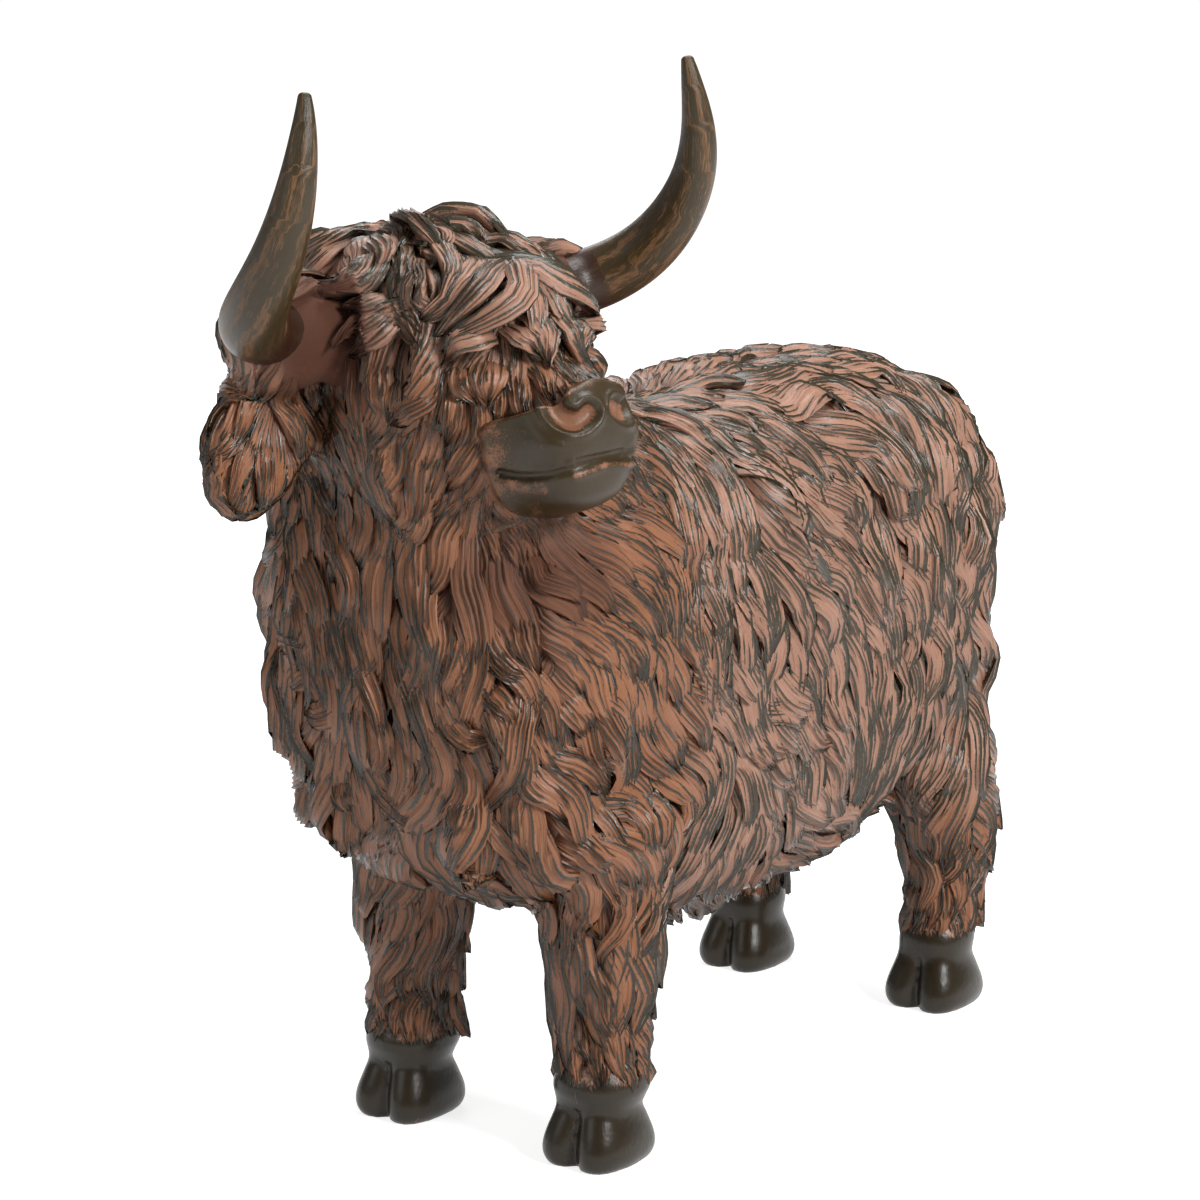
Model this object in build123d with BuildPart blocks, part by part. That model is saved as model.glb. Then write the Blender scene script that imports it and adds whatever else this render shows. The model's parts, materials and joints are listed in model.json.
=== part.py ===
"""Standing highland cow ornament, cast in resin, with its head turned to its left.

The ornament stands on four cloven hooves and is put together from castings: a hollow body with its
legs and tail, a head that drops over a spigot on the neck's tilted seat, and two horns, each glued
into a round seat on the head over a steel pin. The body is poured hollow through a round hole in
the belly, which a stepped plug closes.

The cow faces -Y, its left side is +X, and +Z is up. The origin is on the floor, under the middle
of the whole ornament. Lengths are in millimetres and angles in degrees.
"""

import os
from math import copysign, cos, pi, radians, sin

from build123d import *

# Body
body_length = 258.0
body_width = 114.0
back_height = 225.0
back_squareness = 2.4
belly_squareness = 3.0
wall = 7.0

# Mane, the deep column of hair from the brisket up to the head
mane_width = 120.0
mane_length = 106.0
mane_overhang = 21.0
mane_height = 248.0
mane_shift = 8.0
mane_squareness = 2.8

# Legs, their places, and their thickness at the cannon bone
leg_setback = 32.6
front_stance = 74.0
rear_stance = 78.2
leg_width = 28.0
leg_depth = 30.0
leg_top = 118.0
leg_squareness = 2.2

# Hooves
hoof_width = 28.5
hoof_length = 30.0
hoof_height = 24.0
toe_overlap = 3.0
toe_squareness = 2.3

# Tail
tail_radius = 8.0
tail_length = 132.0
tail_height = 200.0

# Pour hole in the belly, and its plug
pour_radius = 14.0
pour_setback = 20.0
plug_ledge = 3.0
plug_thickness = 3.0
plug_gap = 0.2

# Neck joint, a tilted flat seat with a spigot
seat_drop = 47.0
seat_setback = 13.0
seat_tilt = 28.0
spigot_radius = 22.0
spigot_length = 16.0
glue_gap = 0.15

# Head, measured from the middle of the line between the horn roots
head_height = 257.0
head_setback = 11.0
head_offset = 11.0
head_turn = 80.0
head_roll = 1.6
face_length = 77.0
nape_length = 38.0
head_width = 82.0
crown_height = 30.0
jaw_depth = 69.0
head_squareness = 2.2

# Muzzle
nostril_size = 15.0
nostril_depth = 1.8
nostril_spread = 12.0
nostril_setback = 3.0
nostril_drop = 21.5
nostril_slant = 50.0
mouth_drop = 32.5
mouth_tilt = 12.0
mouth_width = 1.6
mouth_depth = 2.2
mouth_length = 27.0
lip_squareness = 2.8

# Ears
ear_root = 33.0
ear_reach = 74.0
ear_height = 40.0
ear_thickness = 16.0
ear_setback = 9.0
ear_droop = 34.0
ear_rim = 4.0
ear_hollow = 3.0

# Horns
horn_radius = 10.0
horn_root = 36.0
horn_spread = 78.0
horn_forward = 39.0
horn_rise = 72.0
horn_gap = 0.3
tip_rounding = 1.4
pin_radius = 1.5
pin_length = 22.0
pin_gap = 0.15

# Tufts, the main locks of the coat, which stand off the castings towards their tips
tuft_length = 54.0
tuft_radius = 10.5
tuft_rise = 4.0
tuft_tilt = 6.0
head_tuft_length = 46.0
head_tuft_radius = 9.0
head_tuft_rise = 3.0

# Extra length by which a cutting shape passes the surface that it cuts
overrun = 30.0
section_points = 12

# Table of the barrel: station from the front as a share of the body's length, its underside and
# back as shares of the back's height, and its half width as a share of half the body's width
barrel_shares = [
    (0.02, 0.50, 0.80, 0.36),
    (0.06, 0.40, 0.88, 0.70),
    (0.16, 0.34, 0.95, 0.92),
    (0.32, 0.29, 0.985, 1.00),
    (0.50, 0.28, 1.00, 1.00),
    (0.68, 0.30, 1.00, 1.00),
    (0.84, 0.35, 0.985, 0.96),
    (0.94, 0.39, 0.93, 0.84),
    (0.985, 0.46, 0.84, 0.60),
    (1.00, 0.56, 0.74, 0.34),
]
# Table of the mane: height as a share of the mane's, then its length, its width, how far back its
# front lies and how far it leans to the cow's right, as shares of the mane's own sizes
mane_shares = [
    (0.330, 0.44, 0.50, 0.30, 0.0),
    (0.360, 0.66, 0.72, 0.18, 0.0),
    (0.430, 0.86, 0.87, 0.08, 0.3),
    (0.550, 1.00, 1.00, 0.01, 0.9),
    (0.690, 1.00, 1.00, 0.00, 1.0),
    (0.800, 0.94, 0.96, 0.01, 1.2),
    (0.890, 0.82, 0.86, 0.04, 1.4),
    (0.950, 0.60, 0.54, 0.09, 2.2),
    (1.000, 0.42, 0.36, 0.17, 2.6),
]
# Tables of the legs: height above the hoof as a share of the rest of the leg, then width and depth
# as shares of the cannon's, and how far the leg leans back and inwards as shares of the same
front_leg_shares = [
    (-0.05, 0.84, 0.84, 0.06, 0.00),
    (0.02, 1.12, 1.12, 0.06, 0.00),
    (0.14, 1.02, 1.02, 0.07, 0.00),
    (0.30, 1.04, 1.06, 0.08, 0.00),
    (0.46, 1.22, 1.22, 0.09, 0.02),
    (0.64, 1.38, 1.46, 0.10, 0.08),
    (1.00, 1.30, 1.50, 0.15, 0.24),
]
rear_leg_shares = [
    (-0.05, 0.76, 0.78, 0.03, 0.00),
    (0.02, 0.96, 0.98, 0.05, 0.00),
    (0.14, 0.92, 0.96, 0.10, 0.00),
    (0.26, 0.98, 1.08, 0.18, 0.00),
    (0.40, 1.08, 1.32, 0.22, 0.00),
    (0.56, 1.16, 1.52, 0.12, 0.04),
    (0.76, 1.24, 1.60, 0.00, 0.14),
    (1.00, 1.26, 1.50, -0.12, 0.28),
]
# Table of a toe from its sole up: height, width and length as shares of the hoof's, and how far it
# stands off the middle of the hoof as a share of the toe's width there
toe_shares = [
    (0.00, 0.50, 0.94, 0.00),
    (0.06, 0.54, 1.00, 0.00),
    (0.55, 0.52, 0.88, 0.05),
    (1.00, 0.52, 0.74, 0.10),
]
# Table of the tail from its root down: length, backward place and radius as shares of its own
tail_shares = [
    (0.00, -2.2, 0.90),
    (0.14, -0.6, 1.00),
    (0.34, 0.2, 0.90),
    (0.60, 0.5, 0.92),
    (0.80, 0.5, 1.15),
    (0.94, 0.3, 0.80),
    (1.00, 0.2, 0.40),
]
# Table of the head: station along the face, or along the nape where it is behind the horns, then
# underside, top and half width as shares of the jaw's depth, the crown's height and half the width
head_shares = [
    (-1.00, 0.30, 0.30, 0.30),
    (-0.87, 0.54, 0.64, 0.60),
    (-0.50, 0.82, 0.92, 0.90),
    (0.00, 0.96, 1.00, 1.00),
    (0.27, 1.00, 0.84, 0.93),
    (0.51, 0.89, 0.50, 0.72),
    (0.70, 0.79, 0.10, 0.54),
    (0.83, 0.74, -0.26, 0.47),
    (0.92, 0.70, -0.36, 0.45),
    (0.975, 0.64, -0.48, 0.39),
    (1.00, 0.57, -0.62, 0.28),
]
# Table of an ear from its root out: reach, height and thickness as shares of the ear's own, and
# how far its middle hangs as a share of its droop
ear_shares = [
    (0.00, 0.60, 0.90, 0.62),
    (0.25, 0.84, 1.00, 0.72),
    (0.55, 1.00, 0.90, 0.88),
    (0.80, 0.88, 0.66, 1.00),
    (0.95, 0.60, 0.42, 1.04),
    (1.00, 0.30, 0.26, 1.04),
]
# Table of a horn from its root to its tip: spread, forward and rise as shares of the horn's own,
# and its radius as a share of the root's
horn_shares = [
    (0.00, 0.00, 0.00, 0.95),
    (0.28, 0.00, 0.01, 0.96),
    (0.56, 0.02, 0.03, 0.97),
    (0.76, 0.15, 0.07, 0.96),
    (0.90, 0.37, 0.15, 0.90),
    (0.99, 0.76, 0.37, 0.75),
    (0.99, 0.92, 0.53, 0.64),
    (0.95, 1.00, 0.72, 0.49),
    (0.90, 1.00, 0.88, 0.33),
    (0.87, 0.98, 1.00, 0.17),
]
# How far a horn's tip leans inwards, as a share of its rise
tip_lean_share = 0.15
# Half width of the muzzle at the bottom of the mouth's groove, as a share of the head's width
mouth_half_share = 0.185
# Outline of a nostril, a comma whose tail runs back and up the side of the nose: how far towards
# the front and how far up, as shares of its size
nostril_shares = [
    (0.26, 0.07),
    (0.16, -0.20),
    (-0.05, -0.28),
    (-0.45, -0.07),
    (-0.70, 0.24),
    (-0.71, 0.62),
    (-0.59, 0.70),
    (-0.50, 0.40),
    (-0.31, 0.14),
    (-0.05, 0.13),
    (0.14, 0.24),
]


# Table of a tuft's thickness from its root to its tip: how far along, as a share of its length, and its
# radius as a share of the greatest
tuft_shares = [
    (-0.50, 0.00),
    (-0.32, 0.60),
    (-0.05, 1.00),
    (0.22, 0.86),
    (0.40, 0.42),
    (0.50, 0.00),
]
# Tables of the barrel's tufts: row round the section in degrees above the middle of the side, the
# row's first station and its step as shares of the body's length, its count, and its lie in
# degrees from straight down towards the tail
barrel_tuft_rows = [
    (-42, 0.42, 0.125, 4, 52),
    (-16, 0.40, 0.125, 5, 34),
    (10, 0.46, 0.125, 4, 46),
    (34, 0.41, 0.125, 5, 30),
    (56, 0.47, 0.125, 4, 52),
]
# Table of the mane's tufts: height as a share of the mane's, first place round it in degrees from
# its front, step and count
mane_tuft_rows = [
    (0.470, -100, 40, 6),
    (0.585, -120, 40, 7),
    (0.700, -100, 40, 6),
]
# Table of the head's tufts: station along the face, or the nape where it is behind the horns, place
# round it in degrees above the middle of the side, and lie in degrees from straight down forwards
head_tuft_places = [
    (0.24, 62, 40),
    (0.40, 20, 20),
    (0.26, -22, 8),
    (0.05, -50, 0),
    (-0.55, 20, -30),
    (-0.50, 62, -50),
]


def rounded_outline(half_width, bottom, top, squareness, under_squareness=None):
    """Points round a section between bottom and top, a little squarer than an ellipse."""
    middle = (top + bottom) / 2
    half_height = (top - bottom) / 2
    points = []
    for step in range(section_points):
        turn = 2 * pi * step / section_points
        across, upward = cos(turn), sin(turn)
        power = 2 / (under_squareness if under_squareness and upward < 0 else squareness)
        x = half_width * copysign(abs(across) ** power, across)
        y = middle + half_height * copysign(abs(upward) ** power, upward)
        points.append((x, y))
    return points


def shares_at(table, place):
    """Row of a table at a place between its own rows."""
    for before, after in zip(table, table[1:]):
        if place <= after[0]:
            part = (place - before[0]) / (after[0] - before[0])
            return [low + part * (high - low) for low, high in zip(before, after)]
    return list(table[-1])


def on_section(half_width, bottom, top, squareness, turn):
    """Place on a rounded section at a turn from its side, and the two parts of its normal there."""
    across, upward = cos(turn), sin(turn)
    power = 2 / squareness
    x = half_width * copysign(abs(across) ** power, across)
    y = (top - bottom) / 2 * copysign(abs(upward) ** power, upward)
    slope = squareness - 1
    nx = copysign(abs(x / half_width) ** slope, x) / half_width
    ny = copysign(abs(2 * y / (top - bottom)) ** slope, y) * 2 / (top - bottom)
    return x, (top + bottom) / 2 + y, nx, ny


def tuft_plane(place, outward, lie, sink):
    """Plane of a tuft's middle, sunk in a casting and tilted so that the tuft's tip stands off."""
    outward = outward.normalized()
    along = (lie - outward * lie.dot(outward)).normalized()
    tilt = radians(tuft_tilt)
    return Plane(
        origin=place - outward * sink,
        x_dir=along * cos(tilt) + outward * sin(tilt),
        z_dir=outward * cos(tilt) - along * sin(tilt),
    )


def on_head(forward, left, up):
    """Place given in the head's own directions, from the middle of the horn roots."""
    return head_origin + facing * forward + leftward * left + upward * up


def horn_places(side):
    """Places along the middle of the horn on one side, from its root to its tip."""
    places = []
    for spread, forward, rise, _ in horn_shares:
        reach = horn_root + spread * (horn_spread - horn_root)
        places.append(on_head(forward * horn_forward, side * reach, rise * horn_rise))
    return places


def horn_tip_direction(side):
    """Direction in which the horn on one side ends, almost straight up and a little inwards."""
    return upward - leftward * (side * tip_lean_share)


mane_front = body_length / 2 + mane_overhang
wheelbase = body_length - 2 * leg_setback
head_forward = body_length / 2 - head_setback
facing = Vector(sin(radians(head_turn)), -cos(radians(head_turn)), 0)
leftward = Vector(
    cos(radians(head_turn)) * cos(radians(head_roll)),
    sin(radians(head_turn)) * cos(radians(head_roll)),
    sin(radians(head_roll)),
)
upward = facing.cross(leftward)
head_origin = Vector(-head_offset, -head_forward, head_height)
seat_plane = Plane(
    origin=(0, seat_setback - head_forward, head_height - seat_drop),
    x_dir=(1, 0, 0),
    z_dir=(0, -sin(radians(seat_tilt)), cos(radians(seat_tilt))),
)
belly_height = barrel_shares[3][1] * back_height
pour_plane = Plane((0, -pour_setback, belly_height))

# Tufts of the coat: a plane for each, whose X axis runs from its root to its tip
straight_down = Vector(0, 0, -1)
tuft_sink = tuft_radius - tuft_rise
head_tuft_sink = head_tuft_radius - head_tuft_rise
barrel_tufts = []
for degrees, first, step, count, lean in barrel_tuft_rows:
    for number in range(count):
        station = first + step * number
        _, low, high, half = shares_at(barrel_shares, station)
        x, z, nx, nz = on_section(
            half * body_width / 2, low * back_height, high * back_height, back_squareness, radians(degrees)
        )
        y = (station - 0.5) * body_length
        for side in (-1, 1):
            lie = Vector(side * 0.3, sin(radians(lean)), -cos(radians(lean)))
            outward = Vector(side * nx, 0, nz)
            barrel_tufts.append(tuft_plane(Vector(side * x, y, z), outward, lie, tuft_sink))
mane_tufts = []
for level, first, step, count in mane_tuft_rows:
    _, length, width, setback, lean = shares_at(mane_shares, level)
    front = setback * mane_length - mane_front
    back = front + length * mane_length
    for number in range(count):
        turn = radians(first + step * number - 90)
        x, y, nx, ny = on_section(width * mane_width / 2, front, back, mane_squareness, turn)
        place = Vector(x - lean * mane_shift, y, level * mane_height)
        mane_tufts.append(tuft_plane(place, Vector(nx, ny, 0), straight_down, tuft_sink))
head_tufts = []
for station, degrees, lean in head_tuft_places:
    _, low, high, half = shares_at(head_shares, station)
    forward = station * (face_length if station > 0 else nape_length)
    left, up, out_left, out_up = on_section(
        half * head_width / 2, -low * jaw_depth, high * crown_height, head_squareness, radians(degrees)
    )
    for side in (-1, 1):
        lie = facing * sin(radians(lean)) - upward * cos(radians(lean)) + leftward * (side * 0.2)
        outward = leftward * (side * out_left) + upward * out_up
        place = on_head(forward, side * left, up)
        head_tufts.append(tuft_plane(place, outward, lie, head_tuft_sink))

tufts = {}
for name, length, radius in (
    ("body", tuft_length, tuft_radius),
    ("head", head_tuft_length, head_tuft_radius),
):
    with BuildPart() as tuft:
        with BuildSketch():
            with BuildLine():
                crown = Spline(*[(along * length, thickness * radius) for along, thickness in tuft_shares])
                Line(crown @ 1, crown @ 0)
            make_face()
        revolve(axis=Axis.X)
    tufts[name] = tuft.part

with BuildPart() as body:
    # Barrel
    for station, low, high, half in barrel_shares:
        outline = rounded_outline(
            half * body_width / 2, low * back_height, high * back_height, back_squareness, belly_squareness
        )
        with BuildSketch(Plane.XZ.offset((0.5 - station) * body_length)):
            with BuildLine():
                Spline(*outline, periodic=True)
            make_face()
    loft()
    # Mane, cut off by the neck's seat
    for level, length, width, setback, lean in mane_shares:
        front = setback * mane_length - mane_front
        back = front + length * mane_length
        outline = rounded_outline(width * mane_width / 2, front, back, mane_squareness)
        with BuildSketch(Plane((-lean * mane_shift, 0, level * mane_height))):
            with BuildLine():
                Spline(*outline, periodic=True)
            make_face()
    loft()
    split(bisect_by=seat_plane, keep=Keep.BOTTOM)
    # Legs
    for end, stance, table in ((-1, front_stance, front_leg_shares), (1, rear_stance, rear_leg_shares)):
        for side in (-1, 1):
            for level, width, depth, back, inward in table:
                half_depth = depth * leg_depth / 2
                outline = rounded_outline(width * leg_width / 2, -half_depth, half_depth, leg_squareness)
                centre = Vector(
                    side * (stance / 2 - inward * leg_width),
                    end * wheelbase / 2 + back * leg_depth,
                    hoof_height + level * (leg_top - hoof_height),
                )
                with BuildSketch(Plane(centre)):
                    with BuildLine():
                        Spline(*outline, periodic=True)
                    make_face()
            loft()
    # Hooves, two toes each, which overlap in the middle and leave a cleft in front and behind
    for end, stance in ((-1, front_stance), (1, rear_stance)):
        for side in (-1, 1):
            for toe in (-1, 1):
                for level, width, length, closing in toe_shares:
                    half_width = width * hoof_width / 2
                    half_length = length * hoof_length / 2
                    off_middle = half_width * (1 - closing) - toe_overlap / 2
                    outline = rounded_outline(half_width, -half_length, half_length, toe_squareness)
                    across = side * stance / 2 + toe * off_middle
                    centre = (across, end * wheelbase / 2, level * hoof_height)
                    with BuildSketch(Plane(centre)):
                        with BuildLine():
                            Spline(*outline, periodic=True)
                        make_face()
                loft()
    # Tail
    tail_places = [
        Vector(0, body_length / 2 + back * tail_radius, tail_height - down * tail_length)
        for down, back, _ in tail_shares
    ]
    with BuildLine():
        hang = Spline(*tail_places)
    for place, (_, _, thickness) in zip(tail_places, tail_shares):
        with BuildSketch(Plane(origin=place, x_dir=(1, 0, 0), z_dir=hang.tangent_at(place))):
            Circle(thickness * tail_radius)
    loft()
    # Tufts of the barrel and the mane
    with Locations(*barrel_tufts, *mane_tufts):
        add(tufts["body"])
    split(bisect_by=seat_plane, keep=Keep.BOTTOM)
    # Hollow inside the barrel
    for station, low, high, half in barrel_shares[2:8]:
        outline = rounded_outline(
            half * body_width / 2 - wall,
            low * back_height + wall,
            high * back_height - wall,
            back_squareness,
            belly_squareness,
        )
        with BuildSketch(Plane.XZ.offset((0.5 - station) * body_length)):
            with BuildLine():
                Spline(*outline, periodic=True)
            make_face()
    loft(mode=Mode.SUBTRACT)
    # Pour hole, with a ledge for its plug
    with BuildSketch(pour_plane.offset(-wall)):
        Circle(pour_radius)
    extrude(amount=3 * wall, mode=Mode.SUBTRACT)
    with BuildSketch(pour_plane.offset(-wall)):
        Circle(pour_radius + plug_ledge)
    extrude(amount=wall + plug_thickness, mode=Mode.SUBTRACT)
    # Spigot on the neck's seat
    with BuildSketch(seat_plane.offset(-wall)):
        Circle(spigot_radius)
    extrude(amount=wall + spigot_length)

with BuildPart() as head:
    # Throat, which carries on the mane above the neck's seat
    for level, length, width, setback, lean in mane_shares[4:]:
        front = setback * mane_length - mane_front
        back = front + length * mane_length
        outline = rounded_outline(width * mane_width / 2, front, back, mane_squareness)
        with BuildSketch(Plane((-lean * mane_shift, 0, level * mane_height))):
            with BuildLine():
                Spline(*outline, periodic=True)
            make_face()
    loft()
    # Skull and face
    for station, low, high, half in head_shares:
        forward = station * (face_length if station > 0 else nape_length)
        bottom, top = -low * jaw_depth, high * crown_height
        outline = rounded_outline(half * head_width / 2, bottom, top, head_squareness)
        with BuildSketch(Plane(origin=on_head(forward, 0, 0), x_dir=leftward, z_dir=facing)):
            with BuildLine():
                Spline(*outline, periodic=True)
            make_face()
    loft()
    # Ears
    for side in (-1, 1):
        for reach, height, thickness, hang in ear_shares:
            left = side * (ear_root + reach * (ear_reach - ear_root))
            middle = on_head(-ear_setback, left, -hang * ear_droop)
            half_width = thickness * ear_thickness / 2
            half_height = height * ear_height / 2
            outline = rounded_outline(half_width, -half_height, half_height, head_squareness)
            with BuildSketch(Plane(origin=middle, x_dir=facing * side, z_dir=leftward * side)):
                with BuildLine():
                    Spline(*outline, periodic=True)
                make_face()
        loft()
    # Tufts of the fringe, the cheeks and the nape
    with Locations(*head_tufts):
        add(tufts["head"])
    split(bisect_by=seat_plane, keep=Keep.TOP)
    # Hollow in the front of each ear
    for side in (-1, 1):
        for reach, height, thickness, hang in ear_shares[:5]:
            left = side * (ear_root + reach * (ear_reach - ear_root))
            middle = on_head(thickness * ear_thickness / 2 - ear_setback, left, -hang * ear_droop)
            half_height = height * ear_height / 2 - ear_rim
            outline = rounded_outline(thickness * ear_hollow, -half_height, half_height, head_squareness)
            with BuildSketch(Plane(origin=middle, x_dir=facing * side, z_dir=leftward * side)):
                with BuildLine():
                    Spline(*outline, periodic=True)
                make_face()
        loft(mode=Mode.SUBTRACT)
    # Nostrils, cut square to the slanting sides of the nose
    slant = radians(nostril_slant)
    for side in (-1, 1):
        forwards = facing * sin(slant) - leftward * (side * cos(slant))
        outwards = facing * cos(slant) + leftward * (side * sin(slant))
        middle = on_head(face_length - nostril_setback, side * nostril_spread, -nostril_drop)
        floor = middle - outwards * nostril_depth
        comma = [(along * nostril_size, up * nostril_size) for along, up in nostril_shares]
        with BuildSketch(Plane(origin=floor, x_dir=forwards, z_dir=outwards * -side)):
            with BuildLine():
                Spline(*comma, periodic=True)
            make_face()
        extrude(amount=-side * overrun, mode=Mode.SUBTRACT)
    # Mouth, a groove round the muzzle that drops towards its corners
    tilt = radians(mouth_tilt)
    mouth_plane = Plane(
        origin=on_head(face_length, 0, -mouth_drop),
        x_dir=leftward,
        z_dir=upward * cos(tilt) - facing * sin(tilt),
    )
    lips = rounded_outline(mouth_half_share * head_width, mouth_depth, 2 * mouth_length, lip_squareness)
    with BuildSketch(mouth_plane):
        Rectangle(head_width, 2 * mouth_length)
        with BuildLine():
            Spline(*lips, periodic=True)
        make_face(mode=Mode.SUBTRACT)
    extrude(amount=mouth_width / 2, both=True, mode=Mode.SUBTRACT)
    # Socket over the spigot
    with BuildSketch(seat_plane.offset(-wall)):
        Circle(spigot_radius + glue_gap)
    extrude(amount=wall + spigot_length + glue_gap, mode=Mode.SUBTRACT)
    # Round seats for the horns, and the holes of their pins
    for side in (-1, 1):
        root_plane = Plane(origin=on_head(0, side * horn_root, 0), z_dir=leftward * side)
        with BuildSketch(root_plane):
            Circle(horn_radius + horn_gap)
        extrude(amount=overrun, mode=Mode.SUBTRACT)
        with BuildSketch(root_plane):
            Circle(pin_radius + pin_gap)
        extrude(amount=-pin_length / 2 - pin_gap, mode=Mode.SUBTRACT)

horns = {}
for side, name in ((1, "horn_left"), (-1, "horn_right")):
    places = horn_places(side)
    with BuildPart() as horn:
        with BuildLine():
            bend = Spline(*places, tangents=(leftward * side, horn_tip_direction(side)))
        for place, (_, _, _, thickness) in zip(places, horn_shares):
            with BuildSketch(Plane(origin=place, z_dir=bend.tangent_at(place))):
                Circle(thickness * horn_radius)
        loft()
        fillet(horn.edges().sort_by(Axis.Z)[-1], tip_rounding)
        with BuildSketch(Plane(origin=places[0], z_dir=leftward * side)):
            Circle(pin_radius + pin_gap)
        extrude(amount=pin_length / 2 + pin_gap, mode=Mode.SUBTRACT)
    horns[name] = horn

with BuildPart() as pins:
    for side in (-1, 1):
        inner_end = on_head(0, side * (horn_root - pin_length / 2), 0)
        with BuildSketch(Plane(origin=inner_end, z_dir=leftward * side)):
            Circle(pin_radius)
        extrude(amount=pin_length)

with BuildPart() as plug:
    with BuildSketch(pour_plane):
        Circle(pour_radius + plug_ledge - plug_gap)
    extrude(amount=plug_thickness)
    with BuildSketch(pour_plane):
        Circle(pour_radius - plug_gap)
    extrude(amount=wall)

pieces = {
    "body_casting": body.part,
    "belly_plug": plug.part,
    "head_casting": head.part,
    "horn_left": horns["horn_left"].part,
    "horn_right": horns["horn_right"].part,
    "horn_pins": pins.part,
}
boxes = [piece.bounding_box() for piece in pieces.values()]
lowest = [min(corner) for corner in zip(*(box.min for box in boxes))]
highest = [max(corner) for corner in zip(*(box.max for box in boxes))]
middle_of_floor = Vector((lowest[0] + highest[0]) / 2, (lowest[1] + highest[1]) / 2, lowest[2])
print("middle of the hooves", -middle_of_floor)
os.makedirs("parts", exist_ok=True)
for name, piece in pieces.items():
    placed = piece.moved(Location(-middle_of_floor))
    placed.label = name
    export_step(placed, f"parts/{name}.step")
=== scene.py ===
"""Looks of a standing long-haired cow ornament, cast in resin and painted, with its head turned.

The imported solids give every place. The coat is sculpted on a core that lies a little inside them:
locks of hair, each with its comb marks, are combed along a field of directions over that core.
Lengths here are in millimetres, measured from the middle of the four hooves, until a mesh is made.
"""

import json
import logging
import math
from dataclasses import dataclass
from enum import Enum

import bmesh
import bpy
import numpy as np
from mathutils import Matrix, Vector, noise
from mathutils.bvhtree import BVHTree
from mathutils.kdtree import KDTree


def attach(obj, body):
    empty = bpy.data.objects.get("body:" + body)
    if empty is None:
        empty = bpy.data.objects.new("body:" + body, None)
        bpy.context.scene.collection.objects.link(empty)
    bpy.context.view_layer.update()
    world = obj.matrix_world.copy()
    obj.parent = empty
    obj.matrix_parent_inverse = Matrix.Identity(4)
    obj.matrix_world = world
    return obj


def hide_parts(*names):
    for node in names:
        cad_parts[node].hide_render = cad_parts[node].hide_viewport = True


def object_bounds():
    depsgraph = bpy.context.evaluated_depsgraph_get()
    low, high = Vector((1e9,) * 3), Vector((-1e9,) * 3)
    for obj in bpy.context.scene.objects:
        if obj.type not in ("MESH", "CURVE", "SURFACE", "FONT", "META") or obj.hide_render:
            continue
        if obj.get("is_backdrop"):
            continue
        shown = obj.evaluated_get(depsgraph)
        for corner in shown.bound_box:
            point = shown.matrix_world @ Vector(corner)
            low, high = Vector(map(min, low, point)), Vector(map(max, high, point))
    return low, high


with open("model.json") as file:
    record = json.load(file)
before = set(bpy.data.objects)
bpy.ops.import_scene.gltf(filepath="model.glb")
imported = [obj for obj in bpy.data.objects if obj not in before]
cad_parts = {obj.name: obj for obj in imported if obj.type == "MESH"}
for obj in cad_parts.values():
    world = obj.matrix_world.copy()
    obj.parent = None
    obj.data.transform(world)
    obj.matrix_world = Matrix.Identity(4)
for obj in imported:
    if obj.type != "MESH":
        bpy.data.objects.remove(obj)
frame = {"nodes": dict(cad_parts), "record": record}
CAD_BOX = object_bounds()

logging.basicConfig(level=logging.INFO, format="%(message)s")
log = logging.getLogger("cow")

MM = 0.001
# corners of a solid's loose triangles that lie this near to each other, in metres, are one point
MERGE = 5e-6
# a piece of the coat stays under this many triangles
TRIANGLE_LIMIT = 190000
# how far before and behind the middle the legs stand
LEG_REACH = 96.4
HOOF_MIDDLE = np.mean([mount["pos_m"] for mount in frame["record"]["mounts"]], axis=0) / MM

# The head's own directions: it looks to the cow's left, almost square to the body
HEAD_ORIGIN = np.array([-11.0, -118.0, 257.0])
HEAD_TURN = math.radians(80.0)
HEAD_ROLL = math.radians(1.6)
FACING = np.array([math.sin(HEAD_TURN), -math.cos(HEAD_TURN), 0.0])
LEFTWARD = np.array(
    [
        math.cos(HEAD_TURN) * math.cos(HEAD_ROLL),
        math.sin(HEAD_TURN) * math.cos(HEAD_ROLL),
        math.sin(HEAD_ROLL),
    ]
)
UPWARD = np.cross(FACING, LEFTWARD)
DOWN = np.array([0.0, 0.0, -1.0])


def linear(hex_colour: str) -> tuple[float, float, float, float]:
    """Turns an sRGB hex colour into a linear one.

    Args:
        hex_colour: Six hex digits after a hash.

    Returns:
        Red, green, blue and alpha as a shader takes them.
    """
    parts = [int(hex_colour[place : place + 2], 16) / 255 for place in (1, 3, 5)]
    return (*[v / 12.92 if v <= 0.04045 else ((v + 0.055) / 1.055) ** 2.4 for v in parts], 1.0)


def add_node(
    tree: bpy.types.NodeTree, kind: str, settings: dict | None = None, links: dict | None = None
) -> bpy.types.Node:
    """Adds a node with its settings, and fills or links its inputs.

    Args:
        tree: Node tree that gets the node.
        kind: Type name of the node.
        settings: Values for the node's own properties.
        links: Value or other node's output for each input, by name or number.

    Returns:
        The new node.
    """
    node = tree.nodes.new(kind)
    for name, value in (settings or {}).items():
        setattr(node, name, value)
    for name, value in (links or {}).items():
        socket = node.inputs[name]
        if isinstance(value, bpy.types.NodeSocket):
            tree.links.new(value, socket)
        else:
            socket.default_value = value
    return node


def smooth_step(low: float, high: float, value: np.ndarray) -> np.ndarray:
    """Rises smoothly from 0 at low to 1 at high."""
    share = np.clip((value - low) / (high - low), 0.0, 1.0)
    return share * share * (3 - 2 * share)


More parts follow.
